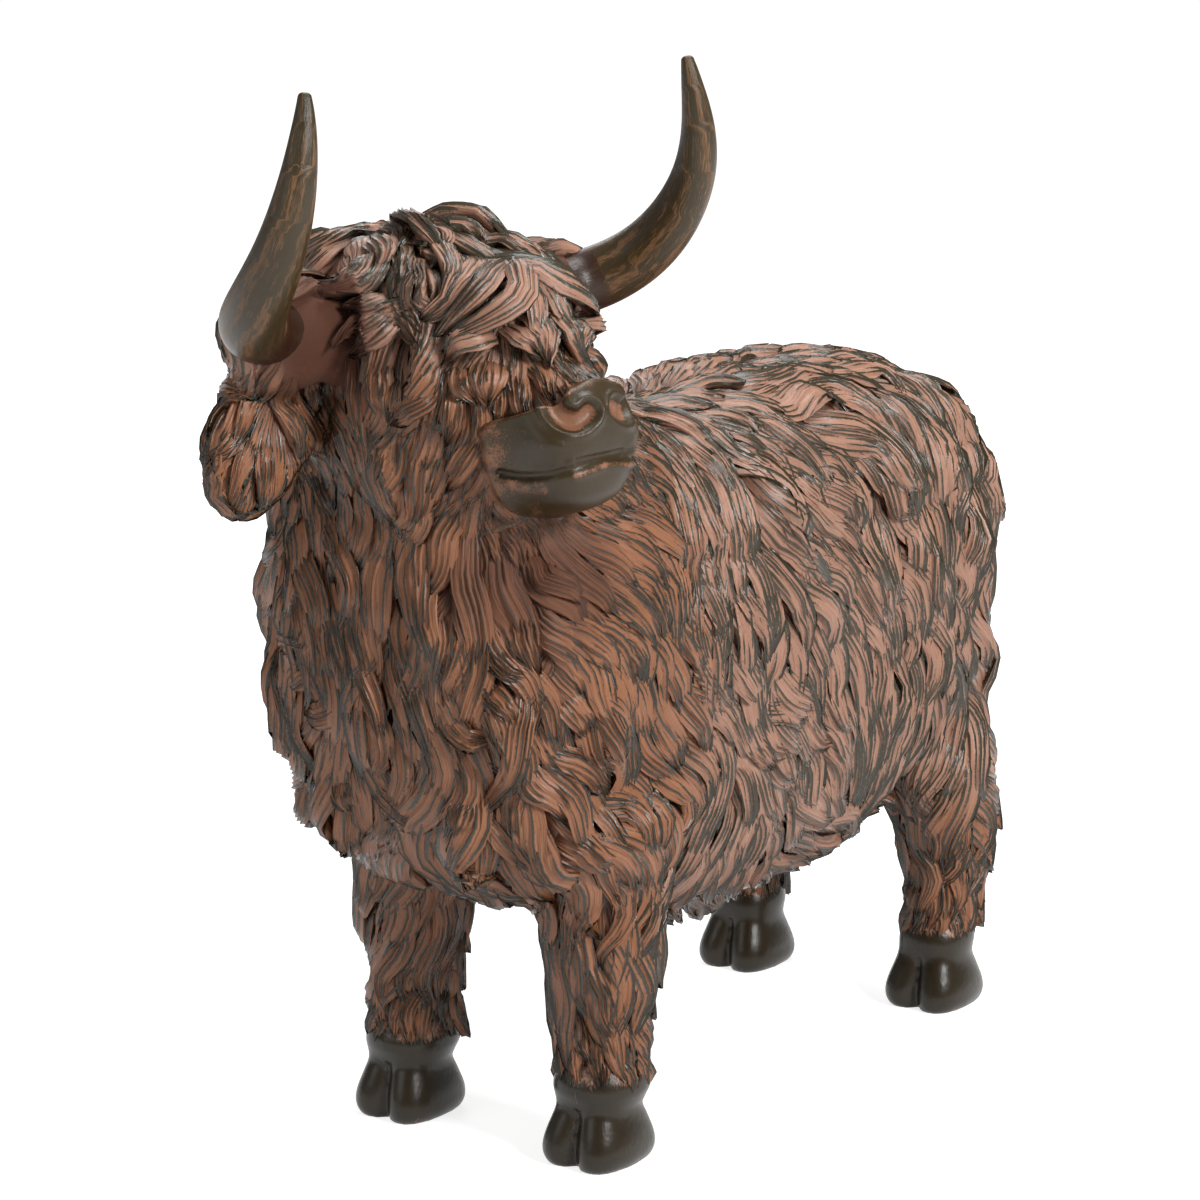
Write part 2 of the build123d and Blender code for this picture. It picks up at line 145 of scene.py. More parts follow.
def unit(vectors: np.ndarray) -> np.ndarray:
    """Scales each vector to length one."""
    return vectors / np.maximum(np.linalg.norm(vectors, axis=-1, keepdims=True), 1e-9)


def lengths_along(line: np.ndarray) -> np.ndarray:
    """Length of a line from its start to each of its points."""
    return np.concatenate([[0], np.cumsum(np.linalg.norm(np.diff(line, axis=0), axis=1))])


def flat_on(vectors: np.ndarray, normals: np.ndarray) -> np.ndarray:
    """Lays each vector flat on the surface that has this normal, at length one."""
    return unit(vectors - (vectors * normals).sum(-1, keepdims=True) * normals)


def turned(vectors: np.ndarray, normals: np.ndarray, angles: np.ndarray) -> np.ndarray:
    """Turns each vector about its normal by an angle in radians."""
    angles = np.asarray(angles)[..., None]
    return vectors * np.cos(angles) + np.cross(normals, vectors) * np.sin(angles)


def drift(points: np.ndarray, wavelength: float, seed: float) -> np.ndarray:
    """Smooth noise from about -1 to 1 at each point.

    Args:
        points: Places in millimetres.
        wavelength: Size of one swell in millimetres.
        seed: Shift that makes one noise differ from the next.

    Returns:
        One value for each point.
    """
    shift = Vector((seed * 17.3, seed * -9.1, seed * 5.7))
    flat = points.reshape(-1, 3) / wavelength
    values = np.array([noise.noise(Vector(place) + shift) for place in flat])
    return (values * 1.6).reshape(points.shape[:-1])


def in_head(points: np.ndarray) -> tuple[np.ndarray, np.ndarray, np.ndarray]:
    """Places in the head's own directions: forward, left and up from between the horn roots."""
    away = points - HEAD_ORIGIN
    return away @ FACING, away @ LEFTWARD, away @ UPWARD


def bare_muzzle(points: np.ndarray) -> np.ndarray:
    """Measures how far each point lies inside the bare skin of the muzzle.

    Args:
        points: Places in millimetres from the middle of the hooves.

    Returns:
        Millimetres inside its edge, negative outside.
    """
    forward, left, up = in_head(points)
    edge = 52 + 20 * smooth_step(-26, -14, up) + 14 * smooth_step(-50, -60, up)
    near = (np.abs(left) < 40) & (up > -66) & (up < 12)
    return np.where(near, forward - edge, -99.0)


def shaded(points: np.ndarray) -> np.ndarray:
    """Tells where shade is painted: darkest in the hollow beside a horn's root, and under the chin.

    Args:
        points: Places in millimetres from the middle of the hooves.

    Returns:
        How much painted shade each place gets, from 0 to 1.
    """
    forward, left, up = in_head(points)
    # painted shadow under the chin, where the jaw shades the throat
    chin = np.sqrt((0.6 * (forward - 40)) ** 2 + (0.7 * left) ** 2 + (up + 74) ** 2)
    return np.maximum(horn_hollow(points), 0.7 * smooth_step(24, 10, chin))


def horn_hollow(points: np.ndarray) -> np.ndarray:
    """Finds the smooth hollow beside a horn's root.

    Args:
        points: Places in millimetres from the middle of the hooves.

    Returns:
        How far each place lies in it, from 0 to 1.
    """
    forward, left, up = in_head(points)
    away = np.sqrt((forward - 9) ** 2 + (np.abs(left) - 45) ** 2 + (0.8 * (up + 1)) ** 2)
    return smooth_step(22, 10, away)


def warmth(points: np.ndarray) -> np.ndarray:
    """Tells where the wash is brown: most on chest and cheeks, and not on flanks and fringe.

    Args:
        points: Places in millimetres from the middle of the hooves.

    Returns:
        How brown it is at each place, from 0 to 1.
    """
    _, _, up = in_head(points)
    _, y, z = points.T
    chest = smooth_step(-52, -84, y) * smooth_step(262, 240, z)
    cheek = smooth_step(-50, -70, y) * smooth_step(2, -16, up)
    legs = smooth_step(92, 62, z)
    return np.maximum(np.maximum(chest * cheek, legs), 0.9 * smooth_step(4, -40, up) * chest)


def patina(points: np.ndarray) -> np.ndarray:
    """Tells where more of the wash was wiped off: on the fringe and the legs.

    Args:
        points: Places in millimetres from the middle of the hooves.

    Returns:
        How much more at each place, from 0 to 1.
    """
    forward, _, up = in_head(points)
    fringe = smooth_step(-14, 2, up) * smooth_step(-2, 16, forward) * (points[:, 2] > 190)
    return np.maximum(fringe, 0.7 * smooth_step(84, 64, points[:, 2]))


def no_hair(points: np.ndarray) -> np.ndarray:
    """Tells which places are bare: the muzzle's skin and the hooves."""
    hoof = 26.5 + 2.4 * np.sin(points[..., 0] * 0.9) + 2.0 * np.sin(points[..., 1] * 1.3)
    return (bare_muzzle(points) > -1.0) | (points[..., 2] < hoof)


def new_object(name: str, mesh: bpy.types.Mesh) -> bpy.types.Object:
    """Makes an object of a mesh and links it to the scene.

    Args:
        name: Name of the object.
        mesh: Its mesh.

    Returns:
        The object.
    """
    made = bpy.data.objects.new(name, mesh)
    bpy.context.scene.collection.objects.link(made)
    return made


def read_mesh(mesh: bpy.types.Mesh) -> tuple[np.ndarray, list[tuple[int, ...]]]:
    """Reads a mesh.

    Args:
        mesh: The mesh.

    Returns:
        Its points in millimetres from the middle of the hooves, and its faces.
    """
    flat = np.empty(len(mesh.vertices) * 3, dtype=np.float32)
    mesh.vertices.foreach_get("co", flat)
    faces = [tuple(polygon.vertices) for polygon in mesh.polygons]
    return flat.reshape(-1, 3).astype(float) / MM - HOOF_MIDDLE, faces


def write_points(mesh: bpy.types.Mesh, points: np.ndarray) -> None:
    """Writes points, in millimetres from the middle of the hooves, into a mesh."""
    mesh.vertices.foreach_set("co", ((points + HOOF_MIDDLE) * MM).astype(np.float32).ravel())
    mesh.update()


def point_normals(mesh: bpy.types.Mesh) -> np.ndarray:
    """Reads the normals of a mesh's points.

    Args:
        mesh: The mesh.

    Returns:
        One normal for each point.
    """
    flat = np.empty(len(mesh.vertices) * 3, dtype=np.float32)
    mesh.vertex_normals.foreach_get("vector", flat)
    return flat.reshape(-1, 3).astype(float)


def soften(
    points: np.ndarray, edges: np.ndarray, rounds: int, values: np.ndarray | None = None
) -> np.ndarray:
    """Evens points, or values at them, out over their neighbours.

    Args:
        points: Places, used where no values are given.
        edges: Pairs of joined points.
        rounds: How often it is done.
        values: Values to even out instead.

    Returns:
        The evened places or values.
    """
    held = points if values is None else values
    count = np.bincount(edges.ravel(), minlength=len(held)).astype(float)[:, None]
    for _ in range(rounds):
        total = np.stack(
            [
                np.bincount(edges[:, 0], held[edges[:, 1], axis], len(held))
                + np.bincount(edges[:, 1], held[edges[:, 0], axis], len(held))
                for axis in range(held.shape[1])
            ],
            axis=1,
        )
        held = 0.5 * held + 0.5 * total / np.maximum(count, 1)
    return held


def mesh_edges(mesh: bpy.types.Mesh) -> np.ndarray:
    """Reads the edges of a mesh.

    Args:
        mesh: The mesh.

    Returns:
        Pairs of joined points.
    """
    flat = np.empty(len(mesh.edges) * 2, dtype=np.int32)
    mesh.edges.foreach_get("vertices", flat)
    return flat.reshape(-1, 2)


def reskinned(mesh: bpy.types.Mesh, voxel: float) -> bpy.types.Mesh:
    """Gives a closed mesh a new skin of even squares, and drops the old one.

    Args:
        mesh: The closed mesh.
        voxel: Size of the squares in millimetres.

    Returns:
        The new mesh.
    """
    rough = new_object(mesh.name + "_rough", mesh)
    skin = rough.modifiers.new("Skin", "REMESH")
    skin.mode = "VOXEL"
    skin.voxel_size = voxel * MM
    seen = rough.evaluated_get(bpy.context.evaluated_depsgraph_get())
    made = bpy.data.meshes.new_from_object(seen)
    bpy.data.objects.remove(rough)
    return made


def remeshed(
    name: str, nodes: list[str], voxel: float, keep_above: float | None = None,
    mounds: tuple[tuple[tuple[float, float, float], tuple[float, float, float]], ...] = (),
) -> bpy.types.Mesh:
    """Joins merged copies of solids into one closed skin of even squares.

    Args:
        name: Name of the new mesh.
        nodes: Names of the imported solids.
        voxel: Size of the squares in millimetres.
        keep_above: Where given, only what is in front of this place along the face is kept.
        mounds: Egg shapes that are joined to them: middle and radii, both forward, left and up.

    Returns:
        The outer skin as a mesh.
    """
    joined = bmesh.new()
    for node in nodes:
        joined.from_mesh(frame["nodes"][node].data)
    bmesh.ops.remove_doubles(joined, verts=joined.verts[:], dist=MERGE)
    for middle, radii in mounds:
        ahead, aside, above = middle
        place = HEAD_ORIGIN + ahead * FACING + aside * LEFTWARD + above * UPWARD + HOOF_MIDDLE
        axes = [FACING * radii[0], LEFTWARD * radii[1], UPWARD * radii[2], place]
        shape = Matrix([[axis[k] * MM for axis in axes] for k in range(3)] + [[0, 0, 0, 1]])
        bmesh.ops.create_icosphere(joined, subdivisions=4, radius=1.0, matrix=shape)
    if keep_above is not None:
        seat = (HEAD_ORIGIN + FACING * keep_above + HOOF_MIDDLE) * MM
        cut = bmesh.ops.bisect_plane(
            joined, geom=joined.verts[:] + joined.edges[:] + joined.faces[:], dist=1e-6,
            plane_co=Vector(seat), plane_no=Vector(FACING), clear_inner=True,
        )
        rim = [piece for piece in cut["geom_cut"] if isinstance(piece, bmesh.types.BMEdge)]
        bmesh.ops.triangle_fill(joined, edges=rim, use_beauty=True)
    mesh = bpy.data.meshes.new(name)
    joined.to_mesh(mesh)
    joined.free()
    made = reskinned(mesh, voxel)
    shells = bmesh.new()
    shells.from_mesh(made)
    shells.verts.ensure_lookup_table()
    unseen = set(range(len(shells.verts)))
    largest: list[int] = []
    while unseen:
        start = unseen.pop()
        island, front = [start], [start]
        while front:
            for edge in shells.verts[front.pop()].link_edges:
                for corner in edge.verts:
                    if corner.index in unseen:
                        unseen.discard(corner.index)
                        island.append(corner.index)
                        front.append(corner.index)
        if len(island) > len(largest):
            largest = island
    kept = set(largest)
    bmesh.ops.delete(shells, geom=[v for v in shells.verts if v.index not in kept], context="VERTS")
    shells.to_mesh(made)
    shells.free()
    made.name = name
    made.shade_smooth()
    return made


def add_values(mesh: bpy.types.Mesh, name: str, values: np.ndarray) -> None:
    """Stores one number, or one vector, at each point of a mesh.

    Args:
        mesh: The mesh.
        name: Name under which materials and nodes find the values.
        values: A number or a vector for each point.
    """
    kind, key = ("FLOAT", "value") if values.ndim == 1 else ("FLOAT_VECTOR", "vector")
    stored = mesh.attributes.new(name, kind, "POINT")
    stored.data.foreach_set(key, values.astype(np.float32).ravel())


@dataclass(frozen=True)
class Finish:
    """A painted finish: a wash that lies in the hollows, and a base on what is raised."""

    name: str
    wash: str = "#B68B74"
    wash_deep: str = "#7A5240"
    base: str = "#383225"
    rust: str = "#77502F"
    wash_roughness: float = 0.40
    base_roughness: float = 0.27
    gloss: float = 1.5

    def start(self) -> tuple[bpy.types.Material, bpy.types.NodeTree, bpy.types.Node]:
        """Makes the material with its shader.

        Returns:
            The material, its tree and its shader.
        """
        material = bpy.data.materials.new(self.name)
        material.use_nodes = True
        tree = material.node_tree
        tree.nodes.clear()
        shader = add_node(tree, "ShaderNodeBsdfPrincipled", None, {"IOR": self.gloss})
        add_node(tree, "ShaderNodeOutputMaterial", None, {"Surface": shader.outputs["BSDF"]})
        material.diffuse_color = linear(self.wash)
        return material, tree, shader


@dataclass(frozen=True)
class WashedCoat(Finish):
    """Cast polyresin, brushed dark and washed with terracotta.

    It is matt pink in the hollows between the comb marks' ridges, and satin olive on the ridges,
    where the wash was wiped away. Shade is painted in as well: dark brown towards each lock's root
    and on the core between the locks, and near black-brown and matt in the hollows beside the
    horns' roots and under the chin.
    """

    speckle: float = 0.7
    # painted shade towards each lock's root and on the core between the locks
    root: str = "#4A2F23"
    warm_wash: str = "#DBB882"
    warm_base: str = "#2B2215"
    # painted shade of the hollows beside the horns' roots and under the chin
    hollow: str = "#44200C"

    def make(self) -> bpy.types.Material:
        """Builds the material from the locks' own values.

        Returns:
            The finished material.
        """
        material, tree, shader = self.start()
        ridge, along, across, tint, warm, shade, more = (
            add_node(tree, "ShaderNodeAttribute", {"attribute_name": name}).outputs["Fac"]
            for name in ("ridge", "along", "across", "tint", "warm", "shade", "patina")
        )
        place = add_node(tree, "ShaderNodeTexCoord").outputs["Object"]
        # patches some 25 mm wide where more or less of the wash was wiped away
        patches = add_node(
            tree, "ShaderNodeTexNoise", None, {"Vector": place, "Scale": 40.0, "Detail": 2.0}
        )
        # speckles of the wash about 0.6 mm across
        specks = add_node(
            tree, "ShaderNodeTexNoise", None,
            {"Vector": place, "Scale": 1100.0, "Detail": 3.0, "Roughness": 0.7}
        )
        # hairs 0.5 mm apart, drawn out along the lock
        hair_place = add_node(
            tree, "ShaderNodeCombineXYZ", None, {"X": across, "Y": along, "Z": tint}
        )
        hair_scale = add_node(
            tree, "ShaderNodeVectorMath", {"operation": "MULTIPLY"},
            {0: hair_place.outputs[0], 1: (9.0, 1.6, 40.0)}
        )
        hairs = add_node(
            tree, "ShaderNodeTexNoise", None,
            {"Vector": hair_scale.outputs[0], "Scale": 2.0, "Detail": 2.0}
        )
        wiped = add_node(
            tree, "ShaderNodeMath", {"operation": "MULTIPLY_ADD"},
            {0: patches.outputs["Fac"], 1: 0.5, 2: -0.29}
        )
        rough_edge = add_node(
            tree, "ShaderNodeMath", {"operation": "MULTIPLY_ADD"},
            {0: specks.outputs["Fac"], 1: self.speckle, 2: -0.5 * self.speckle}
        )
        drawn = add_node(
            tree, "ShaderNodeMath", {"operation": "MULTIPLY_ADD"},
            {0: hairs.outputs["Fac"], 1: 0.7, 2: -0.35}
        )
        wiped = add_node(
            tree, "ShaderNodeMath", {"operation": "MULTIPLY_ADD"},
            {0: more, 1: 0.17, 2: wiped.outputs[0]}
        )
        total = ridge
        for part in (wiped, rough_edge, drawn):
            total = add_node(
                tree, "ShaderNodeMath", {"operation": "ADD"}, {0: total, 1: part.outputs[0]}
            ).outputs[0]
        dark = add_node(
            tree, "ShaderNodeMapRange", {"interpolation_type": "SMOOTHSTEP"},
            {"Value": total, "From Min": 0.30, "From Max": 0.62},
        ).outputs["Result"]
        pink = add_node(
            tree, "ShaderNodeMix", {"data_type": "RGBA"},
            {"Factor": hairs.outputs["Fac"], "A": linear(self.wash_deep), "B": linear(self.wash)},
        ).outputs["Result"]
        rusty = add_node(
            tree, "ShaderNodeMapRange", None,
            {"Value": specks.outputs["Fac"], "From Min": 0.56, "From Max": 0.72, "To Max": 0.55},
        )
        # painted shade: each lock darkens towards its root, where the locks over it shade it
        painted_root_shade = add_node(
            tree, "ShaderNodeMapRange", None,
            {"Value": along, "From Min": 0.02, "From Max": 0.34, "To Min": 0.8, "To Max": 0.0},
        )
        for amount, stain in ((rusty, self.rust), (painted_root_shade, self.root)):
            pink = add_node(
                tree, "ShaderNodeMix", {"data_type": "RGBA"},
                {"Factor": amount.outputs["Result"], "A": pink, "B": linear(stain)},
            ).outputs["Result"]
        warm = add_node(tree, "ShaderNodeMath", {"operation": "MULTIPLY"}, {0: warm, 1: 0.8})
        pink = add_node(
            tree, "ShaderNodeMix", {"data_type": "RGBA", "blend_type": "MULTIPLY"},
            {"Factor": warm.outputs[0], "A": pink, "B": linear(self.warm_wash)},
        ).outputs["Result"]
        olive = add_node(
            tree, "ShaderNodeMix", {"data_type": "RGBA"},
            {"Factor": warm.outputs[0], "A": linear(self.base), "B": linear(self.warm_base)},
        ).outputs["Result"]
        colour = add_node(
            tree, "ShaderNodeMix", {"data_type": "RGBA"}, {"Factor": dark, "A": pink, "B": olive}
        )
        # painted shade: where shade is 1, the colour turns near black-brown and the surface matt
        shade = add_node(tree, "ShaderNodeMath", {"operation": "MULTIPLY"}, {0: shade, 1: 0.96})
        colour = add_node(
            tree, "ShaderNodeMix", {"data_type": "RGBA"},
            {"Factor": shade.outputs[0], "A": colour.outputs["Result"], "B": linear(self.hollow)},
        )
        rough = add_node(
            tree, "ShaderNodeMapRange", None,
            {"Value": dark, "To Min": self.wash_roughness, "To Max": self.base_roughness},
        )
        rough = add_node(
            tree, "ShaderNodeMix", {"data_type": "FLOAT"},
            {"Factor": shade.outputs[0], "A": rough.outputs["Result"], "B": 0.9},
        )
        fine = add_node(
            tree, "ShaderNodeMath", {"operation": "MULTIPLY_ADD"},
            {0: specks.outputs["Fac"], 1: 0.35, 2: hairs.outputs["Fac"]}
        )
        bump = add_node(
            tree, "ShaderNodeBump", None,
            {"Height": fine.outputs[0], "Strength": 0.55, "Distance": 0.0007}
        )
        tree.links.new(colour.outputs["Result"], shader.inputs["Base Color"])
        tree.links.new(rough.outputs["Result"], shader.inputs["Roughness"])
        tree.links.new(bump.outputs["Normal"], shader.inputs["Normal"])
        return material


@dataclass(frozen=True)
class RubbedSkin(Finish):
    """Smooth cast polyresin of muzzle and hooves.

    It is satin olive, with the wash left in its hollows, which the value wash at each point names,
    and rubbed through in speckles. On the muzzle the same value also paints a highlight along the
    lower lip.
    """

    stretch: tuple[float, float, float] = (1.0, 1.0, 1.0)

    def make(self) -> bpy.types.Material:
        """Builds the material from the skin's own wash value.

        Returns:
            The finished material.
        """
        material, tree, shader = self.start()
        wash = add_node(tree, "ShaderNodeAttribute", {"attribute_name": "wash"}).outputs["Fac"]
        place = add_node(tree, "ShaderNodeTexCoord").outputs["Object"]
        drawn = add_node(
            tree, "ShaderNodeVectorMath", {"operation": "MULTIPLY"}, {0: place, 1: self.stretch}
        ).outputs[0]
        # speckles about 0.5 mm across
        specks = add_node(
            tree, "ShaderNodeTexNoise", None,
            {"Vector": drawn, "Scale": 1500.0, "Detail": 3.0, "Roughness": 0.75}
        )
        # clouds of the wash some 6 mm wide
        clouds = add_node(
            tree, "ShaderNodeTexNoise", None, {"Vector": drawn, "Scale": 170.0, "Detail": 3.0}
        )
        mixed = add_node(
            tree, "ShaderNodeMath", {"operation": "MULTIPLY_ADD"},
            {0: specks.outputs["Fac"], 1: 0.9, 2: -0.45}
        )
        cloudy = add_node(
            tree, "ShaderNodeMath", {"operation": "MULTIPLY_ADD"},
            {0: clouds.outputs["Fac"], 1: 0.9, 2: -0.45}
        )
        total = add_node(
            tree, "ShaderNodeMath", {"operation": "ADD"},
            {0: mixed.outputs[0], 1: cloudy.outputs[0]}
        )
        total = add_node(
            tree, "ShaderNodeMath", {"operation": "ADD"}, {0: total.outputs[0], 1: wash}
        )
        pink = add_node(
            tree, "ShaderNodeMapRange", {"interpolation_type": "SMOOTHSTEP"},
            {"Value": total.outputs[0], "From Min": 0.36, "From Max": 0.70},
        ).outputs["Result"]
        tone = add_node(
            tree, "ShaderNodeMix", {"data_type": "RGBA"},
            {"Factor": clouds.outputs["Fac"], "A": linear(self.wash_deep), "B": linear(self.wash)},
        )
        colour = add_node(
            tree, "ShaderNodeMix", {"data_type": "RGBA"},
            {"Factor": pink, "A": linear(self.base), "B": tone.outputs["Result"]},
        )
        rough = add_node(
            tree, "ShaderNodeMapRange", None,
            {"Value": pink, "To Min": self.base_roughness, "To Max": self.wash_roughness},
        )
        bump = add_node(
            tree, "ShaderNodeBump", None,
            {"Height": specks.outputs["Fac"], "Strength": 0.25, "Distance": 0.0004}
        )
        tree.links.new(colour.outputs["Result"], shader.inputs["Base Color"])
        tree.links.new(rough.outputs["Result"], shader.inputs["Roughness"])
        tree.links.new(bump.outputs["Normal"], shader.inputs["Normal"])
        return material


@dataclass(frozen=True)
class StreakedHorn(Finish):
    """Cast polyresin of the horns.

    It is satin olive-brown with lengthwise streaks of ochre and pink, which follow the horn by the
    value grain at each point.
    """

    thin_streak: str = "#5E4326"
    full_streak: str = "#8E6647"
    near_root: str = "#3D2F18"
    near_tip: str = "#332A17"
    # painted shade at the horn's root, where it sits in the shaded hollow beside the head
    hollow: str = "#2E190D"

    def make(self) -> bpy.types.Material:
        """Builds the material from the horn's grain value.

        Returns:
            The finished material.
        """
        material, tree, shader = self.start()
        grain = add_node(tree, "ShaderNodeAttribute", {"attribute_name": "grain"}).outputs["Vector"]
        along = add_node(tree, "ShaderNodeAttribute", {"attribute_name": "along"}).outputs["Fac"]
        # streaks 1 to 3 mm wide and some 25 mm long
        wide = add_node(
            tree, "ShaderNodeTexNoise", None,
            {"Vector": grain, "Scale": 0.30, "Detail": 1.0, "Roughness": 0.5}
        )
        drawn = add_node(
            tree, "ShaderNodeVectorMath", {"operation": "MULTIPLY"}, {0: grain, 1: (1.0, 1.0, 2.2)}
        )
        fine = add_node(
            tree, "ShaderNodeTexNoise", None,
            {"Vector": drawn.outputs[0], "Scale": 1.7, "Detail": 3.0, "Roughness": 0.65}
        )
        mixed = add_node(
            tree, "ShaderNodeMath", {"operation": "MULTIPLY_ADD"},
            {0: fine.outputs["Fac"], 1: 0.9, 2: -0.45}
        )
        total = add_node(
            tree, "ShaderNodeMath", {"operation": "ADD"},
            {0: mixed.outputs[0], 1: wide.outputs["Fac"]}
        )
        pink = add_node(
            tree, "ShaderNodeMapRange", {"interpolation_type": "SMOOTHSTEP"},
            {"Value": total.outputs[0], "From Min": 0.46, "From Max": 0.78, "To Max": 0.80},
        ).outputs["Result"]
        streak = add_node(
            tree, "ShaderNodeMix", {"data_type": "RGBA"},
            {
                "Factor": fine.outputs["Fac"],
                "A": linear(self.thin_streak), "B": linear(self.full_streak),
            },
        )
        body = add_node(
            tree, "ShaderNodeMix", {"data_type": "RGBA"},
            {"Factor": along, "A": linear(self.near_root), "B": linear(self.near_tip)},
        )
        root = add_node(
            tree, "ShaderNodeMapRange", {"interpolation_type": "SMOOTHSTEP"},
            {"Value": along, "From Min": 0.34, "From Max": 0.24},
        )
        colour = add_node(
            tree, "ShaderNodeMix", {"data_type": "RGBA"},
            {"Factor": pink, "A": body.outputs["Result"], "B": streak.outputs["Result"]},
        )
        # painted shade: the root, in the hollow beside the head, is painted as dark as that
        # hollow's painted shade
        colour = add_node(
            tree, "ShaderNodeMix", {"data_type": "RGBA"},
            {"Factor": root.outputs[0], "A": colour.outputs["Result"], "B": linear(self.hollow)},
        )
        rough = add_node(
            tree, "ShaderNodeMapRange", None, {"Value": pink, "To Min": 0.34, "To Max": 0.5}
        )
        bump = add_node(
            tree, "ShaderNodeBump", None,
            {"Height": total.outputs[0], "Strength": 0.3, "Distance": 0.0005}
        )
        tree.links.new(colour.outputs["Result"], shader.inputs["Base Color"])
        tree.links.new(rough.outputs["Result"], shader.inputs["Roughness"])
        tree.links.new(bump.outputs["Normal"], shader.inputs["Normal"])
        return material


@dataclass(frozen=True)
class TurnedSteel(Finish):
    """Mild steel rod of the pins, cut and left bright: grey metal with fine turning marks."""

    def make(self) -> bpy.types.Material:
        """Builds the material.

        Returns:
            The finished material.
        """
        material, tree, shader = self.start()
        shader.inputs["Metallic"].default_value = 1.0
        place = add_node(tree, "ShaderNodeTexCoord").outputs["Object"]
        # turning marks 0.2 mm apart
        marks = add_node(
            tree, "ShaderNodeTexNoise", None, {"Vector": place, "Scale": 5000.0, "Detail": 2.0}
        )
        tone = add_node(
            tree, "ShaderNodeMix", {"data_type": "RGBA"},
            {"Factor": marks.outputs["Fac"], "A": linear("#9A9A98"), "B": linear("#C2C2BF")},
        )
        rough = add_node(
            tree, "ShaderNodeMapRange", None,
            {"Value": marks.outputs["Fac"], "To Min": 0.3, "To Max": 0.5}
        )
        tree.links.new(tone.outputs["Result"], shader.inputs["Base Color"])
        tree.links.new(rough.outputs["Result"], shader.inputs["Roughness"])
        return material


@dataclass(frozen=True)
class PhotoCamera:
    """The photograph's camera, which places what was picked in the photograph."""

    azimuth: float = 36.37
    elevation: float = 11.738
    distance: float = 1200.0
    focal: float = 3649.3
    frame_width: float = 1200.0
    target: tuple[float, float, float] = (-33.609, 0.0, 148.703)

    def axes(self) -> tuple[np.ndarray, np.ndarray, np.ndarray, np.ndarray]:
        """Finds how the camera stands.

        Returns:
            Its place, and the directions to its right, up and backwards.
        """
        turn, tilt = math.radians(self.azimuth), math.radians(self.elevation)
        level = math.cos(tilt)
        back = np.array([math.sin(turn) * level, -math.cos(turn) * level, math.sin(tilt)])
        right = unit(np.cross(back, DOWN))
        return np.array(self.target) + back * self.distance, right, np.cross(back, right), back

    def ray(self, across: float, down: float) -> tuple[Vector, Vector]:
        """Finds the ray through a pixel of the photograph.

        Args:
            across: Pixels from the left.
            down: Pixels from the top.

        Returns:
            Its start and its direction.
        """
        place, right, up, back = self.axes()
        half = self.frame_width / 2
        way = right * ((across - half) / self.focal) + up * ((half - down) / self.focal) - back
        return Vector(place), Vector(unit(way))


@dataclass(frozen=True)
class Stroke:
    """A lock picked in the photograph: half width and rise in millimetres, and path in pixels."""

    half_width: float
    rise: float
    photo_path: tuple[int, ...]


FRINGE = (
    Stroke(4.5, 7.5, (379, 258, 387, 280, 374, 296, 350, 303, 321, 300)),
    Stroke(4.0, 6.5, (364, 252, 374, 268, 366, 284, 345, 295, 325, 298)),
    Stroke(4.0, 8.0, (394, 284, 391, 305, 369, 316, 341, 311)),
    Stroke(4.0, 8.5, (398, 299, 391, 325, 370, 334, 346, 332)),
    Stroke(4.5, 8.5, (400, 306, 396, 330, 378, 346, 354, 352)),
    Stroke(4.5, 4.5, (409, 256, 402, 284, 404, 313, 415, 338, 428, 360)),
    Stroke(4.0, 4.5, (420, 262, 414, 290, 415, 318, 426, 342)),
    Stroke(5.5, 9.5, (494, 251, 518, 280, 516, 308, 487, 332, 448, 354)),
    Stroke(5.0, 9.0, (482, 248, 500, 275, 500, 300, 474, 322, 440, 342)),
    Stroke(5.0, 8.0, (471, 252, 480, 280, 472, 302, 446, 318, 426, 324)),
    Stroke(4.5, 7.0, (440, 252, 455, 268, 452, 291, 432, 308, 423, 322)),
    Stroke(4.5, 8.5, (498, 330, 484, 342, 466, 352, 452, 362)),
    Stroke(5.0, 7.0, (505, 258, 530, 288, 548, 322, 572, 356)),
    Stroke(5.0, 7.0, (515, 300, 528, 325, 538, 350, 545, 370)),
    Stroke(4.5, 7.0, (503, 322, 512, 340, 522, 352, 536, 364)),
    Stroke(4.5, 6.0, (530, 268, 556, 298, 578, 336, 594, 366)),
    Stroke(4.5, 6.0, (460, 240, 500, 250, 532, 270, 552, 300)),
    Stroke(4.0, 7.5, (393, 219, 409, 236, 423, 247, 436, 262)),
    Stroke(4.0, 7.0, (450, 212, 485, 229, 518, 247, 556, 262)),
)
CHEEK = (
    Stroke(6.0, 4.0, (489, 358, 489, 372, 489, 388, 489, 402)),
    Stroke(4.5, 3.5, (466, 362, 464, 376, 468, 390, 476, 400)),
    Stroke(4.5, 4.5, (382, 352, 386, 379, 387, 402, 393, 421)),
    Stroke(4.0, 5.0, (437, 386, 424, 402, 410, 413, 394, 421)),
    Stroke(4.0, 4.5, (404, 366, 408, 386, 404, 404, 394, 418)),
    Stroke(4.0, 4.0, (452, 380, 458, 402, 455, 424, 450, 441)),
    Stroke(5.0, 4.5, (421, 426, 427, 458, 420, 492, 408, 523)),
    Stroke(4.5, 3.5, (386, 430, 380, 470, 394, 502, 407, 524)),
    Stroke(4.0, 3.5, (446, 436, 446, 462, 434, 488, 418, 510)),
    Stroke(4.0, 3.0, (484, 432, 474, 450, 462, 470, 448, 486)),
    Stroke(4.0, 2.5, (322, 341, 332, 379, 341, 426, 341, 485)),
    Stroke(4.0, 3.0, (353, 345, 360, 382, 367, 426, 380, 478)),
    Stroke(4.0, 3.0, (291, 414, 313, 450, 328, 486, 340, 520)),
    Stroke(4.0, 3.5, (330, 390, 344, 420, 356, 452, 366, 490)),
)
